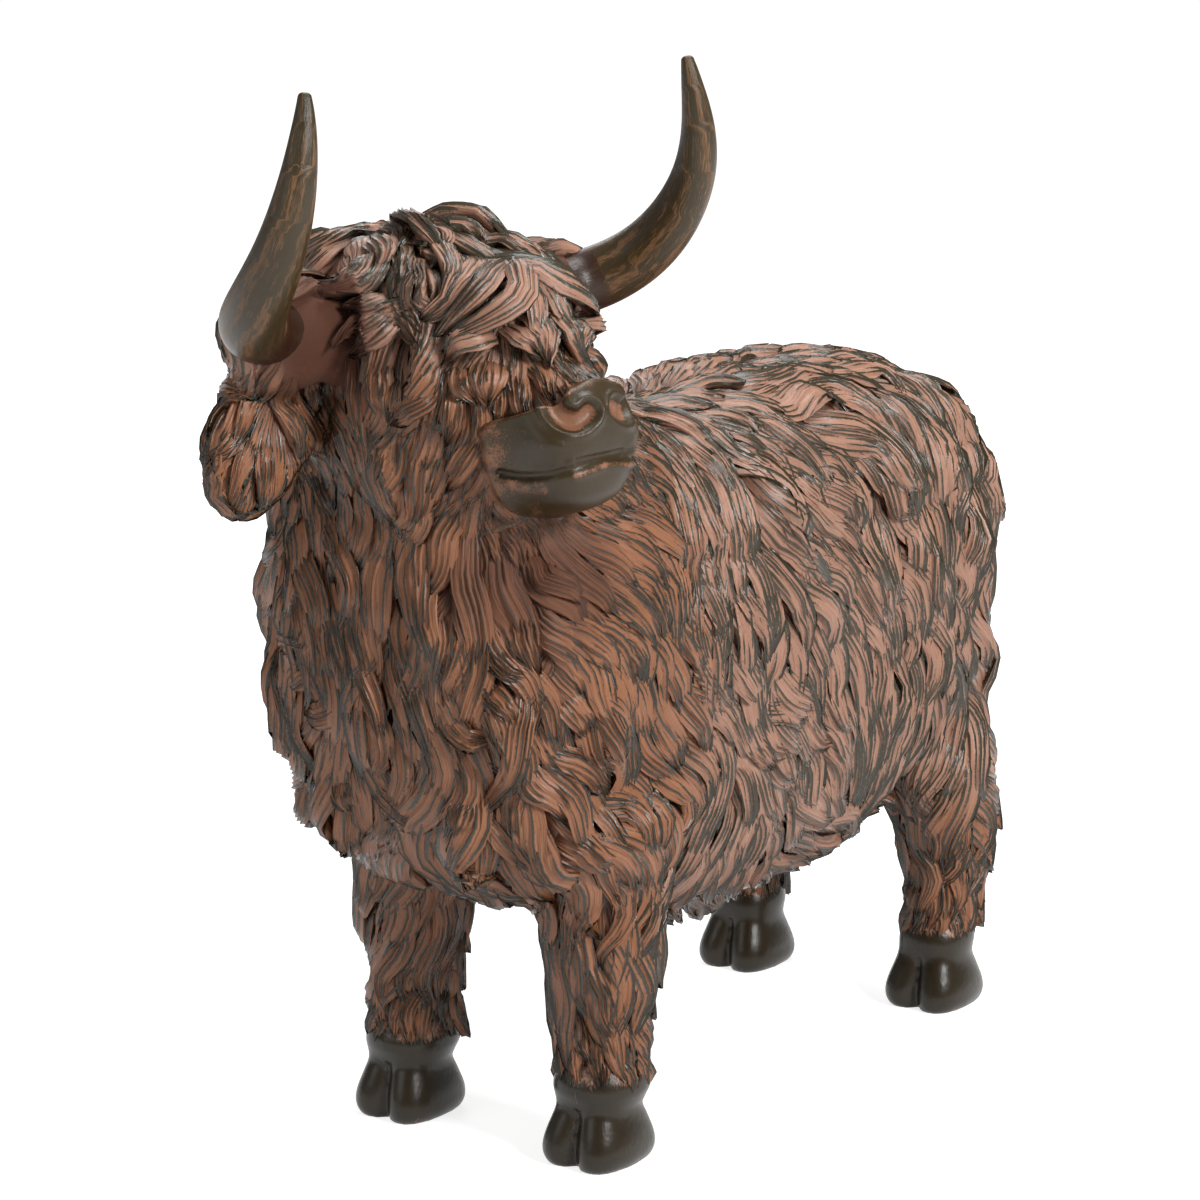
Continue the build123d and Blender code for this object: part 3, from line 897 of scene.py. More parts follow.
EAR = (
    Stroke(3.6, 4.0, (262, 380, 238, 391, 215, 414, 205, 440)),
    Stroke(3.4, 3.5, (268, 384, 248, 402, 236, 426, 230, 446)),
    Stroke(3.4, 3.5, (258, 426, 244, 445, 232, 473, 228, 502)),
    Stroke(3.4, 3.5, (262, 430, 258, 462, 256, 490, 254, 506)),
    Stroke(3.4, 3.0, (274, 390, 284, 410, 292, 436, 296, 460)),
    Stroke(3.4, 3.0, (252, 420, 228, 440, 212, 462, 204, 486)),
)
FLANK = (
    Stroke(5.0, 5.0, (568, 560, 593, 588, 629, 611, 649, 642, 642, 676)),
    Stroke(6.0, 5.2, (540, 619, 573, 634, 598, 657, 612, 693)),
    Stroke(4.5, 4.6, (593, 626, 619, 644, 632, 667, 631, 690)),
    Stroke(4.5, 5.0, (512, 596, 522, 626, 532, 652, 537, 675)),
    Stroke(4.5, 5.0, (494, 628, 496, 652, 512, 670, 535, 678)),
    Stroke(5.5, 5.4, (552, 680, 565, 703, 583, 723, 596, 735)),
    Stroke(5.0, 4.8, (483, 676, 499, 698, 510, 714, 514, 730)),
    Stroke(5.0, 5.2, (445, 700, 458, 723, 478, 736, 501, 738)),
    Stroke(4.5, 4.4, (560, 680, 593, 703, 609, 733, 609, 779)),
    Stroke(5.5, 5.0, (507, 749, 527, 779, 552, 795, 568, 822)),
    Stroke(5.0, 4.8, (522, 736, 548, 754, 580, 764, 606, 790)),
    Stroke(5.0, 4.6, (468, 786, 466, 812, 460, 836)),
    Stroke(5.5, 4.6, (654, 670, 675, 698, 695, 728, 700, 760)),
    Stroke(5.0, 4.8, (647, 690, 647, 718, 658, 744, 675, 770)),
    Stroke(5.0, 4.8, (670, 616, 685, 644, 698, 672, 711, 700, 733, 712)),
    Stroke(5.0, 4.8, (688, 556, 698, 591, 711, 626, 708, 662)),
    Stroke(6.0, 5.2, (724, 644, 733, 672, 751, 708)),
    Stroke(6.0, 5.0, (736, 560, 759, 598, 762, 631, 757, 660)),
    Stroke(6.0, 5.2, (769, 632, 764, 670, 779, 698, 822, 708)),
    Stroke(5.0, 4.8, (759, 573, 787, 598, 797, 634, 796, 664)),
    Stroke(4.5, 5.2, (739, 708, 767, 713, 800, 724)),
    Stroke(4.5, 5.0, (733, 733, 751, 749, 772, 762)),
    Stroke(4.5, 5.6, (769, 786, 787, 808, 812, 814, 832, 808)),
    Stroke(5.0, 5.0, (593, 790, 619, 805, 640, 828, 647, 855)),
    Stroke(5.0, 5.0, (552, 835, 583, 846, 612, 862)),
    Stroke(4.5, 4.4, (640, 426, 678, 450, 716, 484, 728, 520)),
    Stroke(4.5, 5.4, (645, 466, 676, 506, 678, 545, 680, 580, 694, 612)),
    Stroke(4.5, 4.4, (668, 422, 705, 432, 745, 448, 772, 462)),
    Stroke(4.5, 4.6, (705, 410, 761, 424, 808, 462, 840, 510)),
    Stroke(4.5, 4.8, (775, 459, 796, 490, 824, 512)),
    Stroke(5.0, 4.8, (745, 479, 776, 530, 804, 572, 832, 588)),
    Stroke(5.0, 4.6, (785, 492, 821, 545, 872, 606, 890, 668)),
    Stroke(5.5, 5.0, (731, 532, 755, 562, 788, 605, 801, 648)),
    Stroke(5.0, 4.6, (728, 555, 733, 595, 756, 628, 761, 671)),
    Stroke(5.0, 4.6, (806, 598, 811, 645, 822, 692)),
    Stroke(5.0, 4.8, (838, 592, 869, 632, 884, 686)),
    Stroke(5.0, 4.6, (612, 508, 650, 530, 672, 556, 671, 586)),
    Stroke(5.0, 4.8, (576, 524, 612, 545, 652, 575, 664, 612)),
    Stroke(5.0, 4.8, (566, 542, 580, 572, 622, 597, 652, 634, 640, 684)),
    Stroke(4.5, 5.0, (534, 545, 541, 578, 574, 603)),
    Stroke(4.5, 4.8, (662, 612, 678, 645, 698, 674)),
    Stroke(4.5, 4.8, (698, 578, 700, 608, 714, 636, 712, 664)),
    Stroke(4.5, 4.2, (761, 404, 820, 388, 872, 408, 900, 440)),
    Stroke(4.5, 4.4, (828, 436, 862, 446, 896, 478)),
    Stroke(5.0, 4.4, (890, 376, 928, 420, 952, 480, 962, 550)),
    Stroke(5.0, 4.6, (866, 404, 905, 452, 930, 520, 938, 596)),
    Stroke(5.0, 4.6, (900, 484, 922, 545, 928, 610, 914, 676)),
    Stroke(5.0, 4.4, (958, 450, 974, 505, 982, 570, 976, 636)),
    Stroke(5.0, 4.8, (930, 616, 946, 672, 950, 730, 942, 786)),
    Stroke(5.0, 4.6, (842, 640, 866, 690, 872, 740, 862, 784)),
)
CHEST = (
    Stroke(5.0, 4.6, (300, 545, 306, 610, 328, 680, 348, 750)),
    Stroke(5.0, 4.6, (340, 560, 358, 620, 378, 690, 384, 750)),
    Stroke(5.0, 4.6, (400, 600, 405, 650, 428, 706, 440, 770)),
    Stroke(5.0, 4.4, (282, 610, 292, 676, 312, 740, 340, 795)),
    Stroke(4.5, 4.4, (430, 592, 444, 636, 438, 690, 446, 750)),
    Stroke(4.5, 4.8, (362, 770, 400, 804, 446, 830)),
    Stroke(4.5, 4.8, (470, 800, 510, 838, 556, 872)),
    Stroke(4.5, 4.4, (470, 600, 462, 640, 452, 680, 462, 716)),
)


def on_skin(strokes: tuple[Stroke, ...], skin: BVHTree) -> list[tuple[Stroke, np.ndarray]]:
    """Finds where strokes picked in the photograph lie on a skin.

    Args:
        strokes: The picked strokes.
        skin: The skin, in millimetres from the middle of the hooves.

    Returns:
        Each stroke with evenly spaced places along it.
    """
    camera = PhotoCamera()
    found = []
    for stroke in strokes:
        pixels = np.array(stroke.photo_path, dtype=float).reshape(-1, 2)
        reach = lengths_along(pixels)
        steps = np.linspace(0, reach[-1], 25)
        drawn = np.stack([np.interp(steps, reach, pixels[:, axis]) for axis in (0, 1)], axis=1)
        for _ in range(6):
            drawn[1:-1] = 0.25 * drawn[:-2] + 0.5 * drawn[1:-1] + 0.25 * drawn[2:]
        hits = [skin.ray_cast(*camera.ray(across, down))[0] for across, down in drawn]
        places = np.array([hit for hit in hits if hit is not None])
        if len(places) < 8:
            log.info("a stroke misses the skin: %s", stroke.photo_path)
            continue
        jumps = np.linalg.norm(np.diff(places, axis=0), axis=1)
        if jumps.max() > 12:
            cut = int(np.argmax(jumps)) + 1
            places = places[:cut] if cut > len(places) / 2 else places[cut:]
        for _ in range(3):
            places[1:-1] = 0.25 * places[:-2] + 0.5 * places[1:-1] + 0.25 * places[2:]
        found.append((stroke, places))
    return found


def across_face(places: np.ndarray) -> np.ndarray:
    """Mirrors places of the head from one side of the face to the other."""
    _, left, _ = in_head(places)
    return places - 2 * left[:, None] * LEFTWARD


@dataclass
class CombedCore:
    """The skin inside the coat, and the direction in which the hair lies at each of its points."""

    voxel: float = 2.0
    inset: float = 4.2
    bare_inset: float = 6.5
    ear_share: float = 0.7
    plug_place: tuple[float, float, float] = (0.0, -20.0, 65.25)
    plug_radius: float = 17.0
    plug_inset: float = 1.6
    stroke_reach: float = 15.0
    stroke_fade: float = 7.0
    mounds: tuple[tuple[tuple[float, float, float], tuple[float, float, float]], ...] = (
        ((-3.0, 46.0, 0.0), (18.0, 25.0, 18.0)),
        ((-3.0, -46.0, 0.0), (18.0, 25.0, 18.0)),
    )
    mesh: bpy.types.Mesh | None = None
    points: np.ndarray | None = None
    normals: np.ndarray | None = None
    flow: np.ndarray | None = None
    corners: np.ndarray | None = None
    tree: BVHTree | None = None
    paths: dict[str, list[tuple[Stroke, np.ndarray]]] | None = None

    def build(self) -> None:
        """Makes the skin, lays it inside the solids and combs it."""
        self.mesh = remeshed(
            "coat_core", [
                "body_casting", "head_casting", "belly_plug"
            ], self.voxel, mounds=self.mounds
        )
        points, faces = read_mesh(self.mesh)
        edges = mesh_edges(self.mesh)
        points = soften(points, edges, 3)
        write_points(self.mesh, points)
        normals = unit(soften(points, edges, 4, point_normals(self.mesh)))
        plug = np.linalg.norm(points - np.array(self.plug_place), axis=1)
        depth = self.inset * smooth_step(self.plug_radius + 4, self.plug_radius + 12, plug)
        depth = np.where(plug < self.plug_radius + 1.2, self.plug_inset, depth)
        _, left, up = in_head(points)
        ears = smooth_step(40, 48, np.abs(left)) * smooth_step(-8, -16, up) * (points[:, 2] > 185)
        depth = depth * (1 - self.ear_share * ears)
        depth = np.where(bare_muzzle(points) > 1, self.bare_inset, depth)
        depth = soften(points, edges, 2, depth[:, None])
        points = points - normals * depth
        write_points(self.mesh, points)
        self.points = points
        self.normals = unit(soften(points, edges, 2, point_normals(self.mesh)))
        self.corners = np.array([face[:3] for face in faces])
        self.tree = BVHTree.FromPolygons([Vector(place) for place in points], faces)
        self.paths = {
            "head": on_skin(FRINGE + CHEEK + EAR, self.tree),
            "body": on_skin(FLANK + CHEST, self.tree),
        }
        self.flow = self.comb(edges)

    def mirrored(self, part: str, places: np.ndarray) -> np.ndarray:
        """Mirrors places of the head across the face, or of the body across the spine."""
        return across_face(places) if part == "head" else places * np.array([-1.0, 1.0, 1.0])

    def guided(self, lie: np.ndarray) -> np.ndarray:
        """Bends the lie of the hair towards the strokes near it, on both sides of the animal.

        Args:
            lie: Direction at each point before.

        Returns:
            Direction at each point after.
        """
        places, ways = [], []
        for part, strokes in self.paths.items():
            for _, path in strokes:
                for line in (path, self.mirrored(part, path)):
                    places.append(line)
                    ways.append(unit(np.gradient(line, axis=0)))
        places, ways = np.concatenate(places), np.concatenate(ways)
        search = KDTree(len(places))
        for number, place in enumerate(places):
            search.insert(place, number)
        search.balance()
        made = lie.copy()
        for number, point in enumerate(self.points):
            near = search.find_range(point, self.stroke_reach)
            if near:
                far = np.array([hit[2] for hit in near])
                pull = np.exp(-((far / self.stroke_fade) ** 2))
                drawn = (ways[[hit[1] for hit in near]] * pull[:, None]).sum(0)
                made[number] = 0.45 * lie[number] + drawn
        return made

    def comb(self, edges: np.ndarray) -> np.ndarray:
        """Lays the hair back and down on the barrel, down on mane and legs, outwards on the head.

        Args:
            edges: Pairs of joined points, over which the directions are evened out.

        Returns:
            The direction at each point.
        """
        points, normals = self.points, self.normals
        x, y, z = points.T
        side = np.tanh(x / 14)
        lie = np.stack([0.35 * side, np.full_like(x, 0.80), np.full_like(x, -1.0)], axis=1)
        mane = smooth_step(-25, -75, y)[:, None]
        lie = lie * (1 - mane) + np.stack([0.1 * side, 0.15 + 0 * x, -1 + 0 * x], axis=1) * mane
        rump = smooth_step(95, 128, y)[:, None]
        lie = lie * (1 - rump) + np.stack([0.35 * side, 0.35 + 0 * x, -1 + 0 * x], axis=1) * rump
        legs = smooth_step(78, 55, z)[:, None]
        lie = lie * (1 - legs) + DOWN * legs
        tail = ((y > 131) & (np.abs(x) < 12))[:, None]
        lie = np.where(tail, DOWN, lie)
        forward, left, up = in_head(points)
        crown = HEAD_ORIGIN + FACING * 2
        outwards = points - crown
        outwards[:, 2] = 0
        head = (smooth_step(205, 240, z) * smooth_step(-45, -60, y))[:, None]
        lie = lie * (1 - head) + (unit(outwards) + 0.9 * DOWN) * head
        ear = (smooth_step(38, 46, np.abs(left)) * (z > 190))[:, None]
        lie = lie * (1 - ear) + (LEFTWARD * np.sign(left)[:, None] * 0.7 + DOWN) * ear
        bridge = (smooth_step(30, 42, forward) * smooth_step(-34, -22, up))[:, None]
        sideways = LEFTWARD * np.tanh(left / 8)[:, None]
        lie = lie * (1 - bridge) + (1.1 * FACING + 0.25 * DOWN + 0.35 * sideways) * bridge
        lie = flat_on(lie, normals)
        swing = 0.75 * drift(points, 42, 1.0) + 0.45 * drift(points, 21, 2.0)
        swing = swing * (0.55 + 0.45 * smooth_step(60, 95, z)) * (1 - 0.6 * bridge[:, 0])
        lie = turned(lie, normals, swing)
        lie = soften(points, edges, 3, flat_on(self.guided(lie), normals))
        return flat_on(lie, normals)

    def sample(self, places: np.ndarray) -> tuple[np.ndarray, np.ndarray, np.ndarray]:
        """Finds the nearest place on the skin, its normal and its lie.

        Args:
            places: Places near the skin.

        Returns:
            Places on the skin, normals and directions.
        """
        found = [self.tree.find_nearest(Vector(place)) for place in places]
        spots = np.array([hit[0] for hit in found])
        corners = self.corners[[hit[2] for hit in found]]
        away = np.linalg.norm(self.points[corners] - spots[:, None], axis=2) + 0.05
        share = (1 / away) / (1 / away).sum(1, keepdims=True)
        normals = unit((self.normals[corners] * share[..., None]).sum(1))
        flow = flat_on((self.flow[corners] * share[..., None]).sum(1), normals)
        return spots, normals, flow

    def piece(self, material: bpy.types.Material) -> bpy.types.Object:
        """Makes the skin a piece of the scene.

        Args:
            material: Finish of what shows between the locks.

        Returns:
            The piece.
        """
        add_values(self.mesh, "ridge", np.zeros(len(self.points)))
        # painted shade: the core shows only between the locks, so it takes the dark brown of a
        # lock's shaded root
        add_values(self.mesh, "along", np.full(len(self.points), 0.02))
        add_values(self.mesh, "shade", shaded(self.points))
        add_values(self.mesh, "warm", warmth(self.points))
        add_values(self.mesh, "patina", patina(self.points))
        add_values(self.mesh, "across", 0.2 * drift(self.points, 8, 3.0))
        add_values(self.mesh, "tint", np.zeros(len(self.points)))
        self.mesh.materials.clear()
        self.mesh.materials.append(material)
        made = new_object("coat_core", self.mesh)
        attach(made, "root")
        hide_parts("body_casting", "head_casting")
        return made


class Region(Enum):
    """Parts of the coat, each with locks of its own size."""

    BACK = "back"
    LEFT_FLANK = "left_flank"
    RIGHT_FLANK = "right_flank"
    MANE = "mane"
    LEGS = "legs"
    HEAD = "head"
    EARS = "ears"
    TAIL = "tail"
    SPINE = "spine"
    SKIRT = "skirt"
    FEATHERS = "feathers"
    CUFFS = "cuffs"
    CROWN = "crown"
    FACE = "face"


@dataclass(frozen=True)
class LockStyle:
    """Sizes of a region's locks, in millimetres, and how they curl, in degrees."""

    region: Region
    spacing: float
    length: float
    half_width: float
    rise: float
    strands: int = 6
    rings: int = 13
    swirl: float = 26.0
    hook: float = 35.0
    flick: float = 0.0
    hang: float = 0.0
    tip: float = 0.12


# each lock starts this share of its length before its root, so that partings are covered too
LEAD = 0.2
# a lock's half width, as a share of its greatest, at these shares of its length
OUTLINE_AT = (0.0, 0.2, 0.45, 0.7, 0.88, 1.0)
OUTLINE = (0.5, 0.86, 1.0, 0.82, 0.45, 0.06)
# a lock's height, as a share of its rise, at these shares of its length, but for its tip
ARCH_AT = (0.0, 0.12, 0.35, 0.65, 0.88, 1.0)
ARCH = (-0.35, 0.1, 0.72, 1.0)
STYLES = (
    LockStyle(Region.BACK, 9.0, 48, 6.2, 3.4, strands=7),
    LockStyle(Region.LEFT_FLANK, 9.0, 50, 6.2, 3.8, strands=7, swirl=34),
    LockStyle(Region.RIGHT_FLANK, 9.0, 50, 6.2, 3.8, strands=7, swirl=34),
    LockStyle(Region.MANE, 8.5, 46, 5.8, 3.8, strands=6, swirl=30),
    LockStyle(Region.LEGS, 7.0, 30, 4.2, 2.6, strands=5, rings=11, swirl=22, hook=26),
    LockStyle(Region.HEAD, 7.0, 28, 4.6, 2.8, strands=5, tip=0.3),
    LockStyle(Region.EARS, 7.5, 38, 5.2, 1.8, strands=6, rings=13, swirl=10, hook=18, tip=0.5),
    LockStyle(Region.TAIL, 7.0, 34, 4.2, 2.4, strands=4, rings=11, swirl=16, hook=25),
    LockStyle(Region.SPINE, 7.5, 26, 3.8, 3.2, strands=4, rings=11, hook=45, flick=3.0, tip=0.4),
    LockStyle(Region.SKIRT, 7.5, 34, 4.6, 3.2, strands=5, hook=50, flick=1.0, hang=8.0),
    LockStyle(
        Region.FEATHERS, 6.5, 28, 4.0, 2.6, strands=4, rings=11, hook=35, flick=4.0, hang=3.0,
        tip=0.4
    ),
    LockStyle(Region.CUFFS, 5.2, 19, 3.5, 2.2, strands=4, rings=9, swirl=12, hook=20, flick=1.0),
    LockStyle(Region.CROWN, 5.4, 22, 3.6, 2.6, strands=5, hook=45, flick=1.8, tip=0.3),
    LockStyle(Region.FACE, 4.6, 22, 3.2, 0.9, strands=4, rings=11, swirl=16, hook=18, tip=0.0),
)


@dataclass(frozen=True)
class Bounds:
    """Where the regions of the coat end, in millimetres from the middle of the hooves.

    What names the head or an ear is measured from between the horn roots, in the head's directions.
    """

    flank_side: float = 18.0
    flank_top: float = 208.0
    mane_start: float = -45.0
    spine_side: float = 12.0
    spine_low: float = 206.0
    spine_front: float = -62.0
    leg_top: float = 66.0
    feather_low: float = 36.0
    feather_top: float = 80.0
    feather_behind: float = 9.0
    skirt_top: float = 88.0
    skirt_middle: float = -2.0
    skirt_reach: float = 72.0
    cuff_top: float = 47.0
    tail_start: float = 130.5
    tail_side: float = 11.0
    head_low: float = 196.0
    head_side: float = 66.0
    head_behind: float = -42.0
    cheek_side: float = 44.0
    crown_up: float = 25.0
    face_forward: float = 34.0
    face_up: float = 20.0
    ear_low: float = 190.0
    ear_back: float = -40.0
    ear_middle: float = -9.0
    ear_depth: float = 16.0
    ear_up: float = -12.0
    plug_seat: tuple[float, float, float] = (0.0, -20.0, 65.0)
    plug_reach: float = 30.0
    plug_top: float = 75.0
    bare_top: float = 31.0


def region_of(points: np.ndarray) -> np.ndarray:
    """Finds the region of the coat that each point belongs to.

    Args:
        points: Places in millimetres from the middle of the hooves.

    Returns:
        The region's number, or -1 where the skin is bare.
    """
    order = list(Region)
    at = Bounds()
    x, y, z = points.T
    forward, left, up = in_head(points)
    made = np.full(len(points), order.index(Region.BACK))
    made[(x > at.flank_side) & (z < at.flank_top)] = order.index(Region.LEFT_FLANK)
    made[(x < -at.flank_side) & (z < at.flank_top)] = order.index(Region.RIGHT_FLANK)
    made[y < at.mane_start] = order.index(Region.MANE)
    spine = (np.abs(x) < at.spine_side) & (z > at.spine_low) & (y > at.spine_front)
    made[spine] = order.index(Region.SPINE)
    made[z < at.leg_top] = order.index(Region.LEGS)
    behind = y - np.where(y < 0, -LEG_REACH, LEG_REACH)
    feathers = (z < at.feather_top) & (z > at.feather_low) & (behind > at.feather_behind)
    made[feathers] = order.index(Region.FEATHERS)
    skirt = (z < at.skirt_top) & (np.abs(y - at.skirt_middle) < at.skirt_reach)
    made[skirt] = order.index(Region.SKIRT)
    made[z < at.cuff_top] = order.index(Region.CUFFS)
    made[(y > at.tail_start) & (np.abs(x) < at.tail_side)] = order.index(Region.TAIL)
    # the head is wider at the horns' height, up to its sides
    side = at.cheek_side + 60 * (np.abs(up) < 17)
    head = (z > at.head_low) & (np.abs(left) < np.minimum(at.head_side, side))
    head &= forward > at.head_behind
    made[head] = order.index(Region.HEAD)
    made[head & (up > at.crown_up)] = order.index(Region.CROWN)
    made[head & (forward > at.face_forward) & (up < at.face_up)] = order.index(Region.FACE)
    ear = (z > at.ear_low) & (np.abs(left) >= at.cheek_side) & (y < at.ear_back)
    ear &= (np.abs(forward - at.ear_middle) < at.ear_depth) & (up < at.ear_up)
    made[ear] = order.index(Region.EARS)
    plug = np.linalg.norm(points - np.array(at.plug_seat), axis=1)
    made[(plug < at.plug_reach) & (z < at.plug_top)] = -1
    made[(z < at.bare_top) | (bare_muzzle(points) > -3)] = -1
    made[horn_hollow(points) > 0.7] = -1
    return made


# points round a lock for each strand on its top, and as many again underneath
STRAND_POINTS = 4.0
# what the comb tree works out for each point of a lock: its name, the sum and what goes into it.
# across runs from -1 to 1 over the lock, sharp is 1 on a comb mark's ridge, and the rest are
# heights and shifts
COMB_SUMS = (
    ("last", "MULTIPLY", "Strands", STRAND_POINTS),
    ("past last", "ADD", "last", 0.5),
    ("on top", "LESS_THAN", "around", "past last"),
    ("underneath", "SUBTRACT", 1.0, "on top"),
    ("twice around", "MULTIPLY", "around", 2.0),
    ("share around", "DIVIDE", "twice around", "last"),
    ("across top", "SUBTRACT", "share around", 1.0),
    ("beyond last", "SUBTRACT", "around", "last"),
    ("share beyond", "MULTIPLY", "beyond last", 0.5),
    ("across under", "SUBTRACT", 1.0, "share beyond"),
    ("top part", "MULTIPLY", "across top", "on top"),
    ("under part", "MULTIPLY", "across under", "underneath"),
    ("across", "ADD", "top part", "under part"),
    ("turn", "MULTIPLY", "around", math.pi / STRAND_POINTS),
    ("wave", "SINE", "turn"),
    ("bow", "ABSOLUTE", "wave"),
    ("sharp", "SUBTRACT", 1.0, "bow"),
    ("ridge", "MULTIPLY", "sharp", "on top"),
    ("strand X", "MULTIPLY", "across", 2.6),
    ("strand Y", "MULTIPLY", "along", 1.4),
    ("strand Z", "MULTIPLY_ADD", "tint", 60.0, "Seed"),
    ("broken X", "MULTIPLY", "across", 5.0),
    ("broken Y", "MULTIPLY", "along", 3.0),
    ("broken Z", "MULTIPLY_ADD", "tint", 90.0, 7.0),
    ("swing", "SUBTRACT", "uneven", 0.5),
    ("wander", "MULTIPLY", "swing", 1.6),
    ("distance", "ABSOLUTE", "across"),
    ("fall", "POWER", "distance", 2.0),
    ("crown", "SUBTRACT", 1.0, "fall"),
    ("wide crown", "MULTIPLY", "crown", "half_width"),
    ("swell", "MULTIPLY", "wide crown", 0.22),
    ("shown", "MULTIPLY", "begun", "strong"),
    ("shown ridge", "MULTIPLY", "ridge", "shown"),
    ("marks", "MULTIPLY", "shown ridge", "Mark Height"),
    ("swollen", "ADD", "rise", "swell"),
    ("marked", "ADD", "swollen", "marks"),
    ("wobble", "MULTIPLY", "half_width", 0.20),
    ("top", "MULTIPLY_ADD", "wander", "wobble", "marked"),
    ("thickness", "MULTIPLY_ADD", "along", -0.0022, 0.0042),
    ("under", "SUBTRACT", "rise", "thickness"),
    ("top height", "MULTIPLY", "top", "on top"),
    ("under height", "MULTIPLY", "under", "underneath"),
    ("flat height", "ADD", "top height", "under height"),
    ("squared", "MULTIPLY", "across", "across"),
    ("on left", "GREATER_THAN", "across", 0.0),
    ("on right", "SUBTRACT", 1.0, "on left"),
    ("left drop", "MULTIPLY", "drop_left", "on left"),
    ("right drop", "MULTIPLY", "drop_right", "on right"),
    ("drop", "ADD", "left drop", "right drop"),
    ("height", "MULTIPLY_ADD", "drop", "squared", "flat height"),
    ("wandered", "MULTIPLY_ADD", "wander", 0.22, "across"),
    ("aside", "MULTIPLY", "wandered", "half_width"),
    ("end", "POWER", "along", 4.0),
    ("split", "MULTIPLY_ADD", "sharp", 0.5, "wander"),
    ("frayed", "MULTIPLY", "split", "Fray"),
    ("ahead", "MULTIPLY", "frayed", "end"),
)


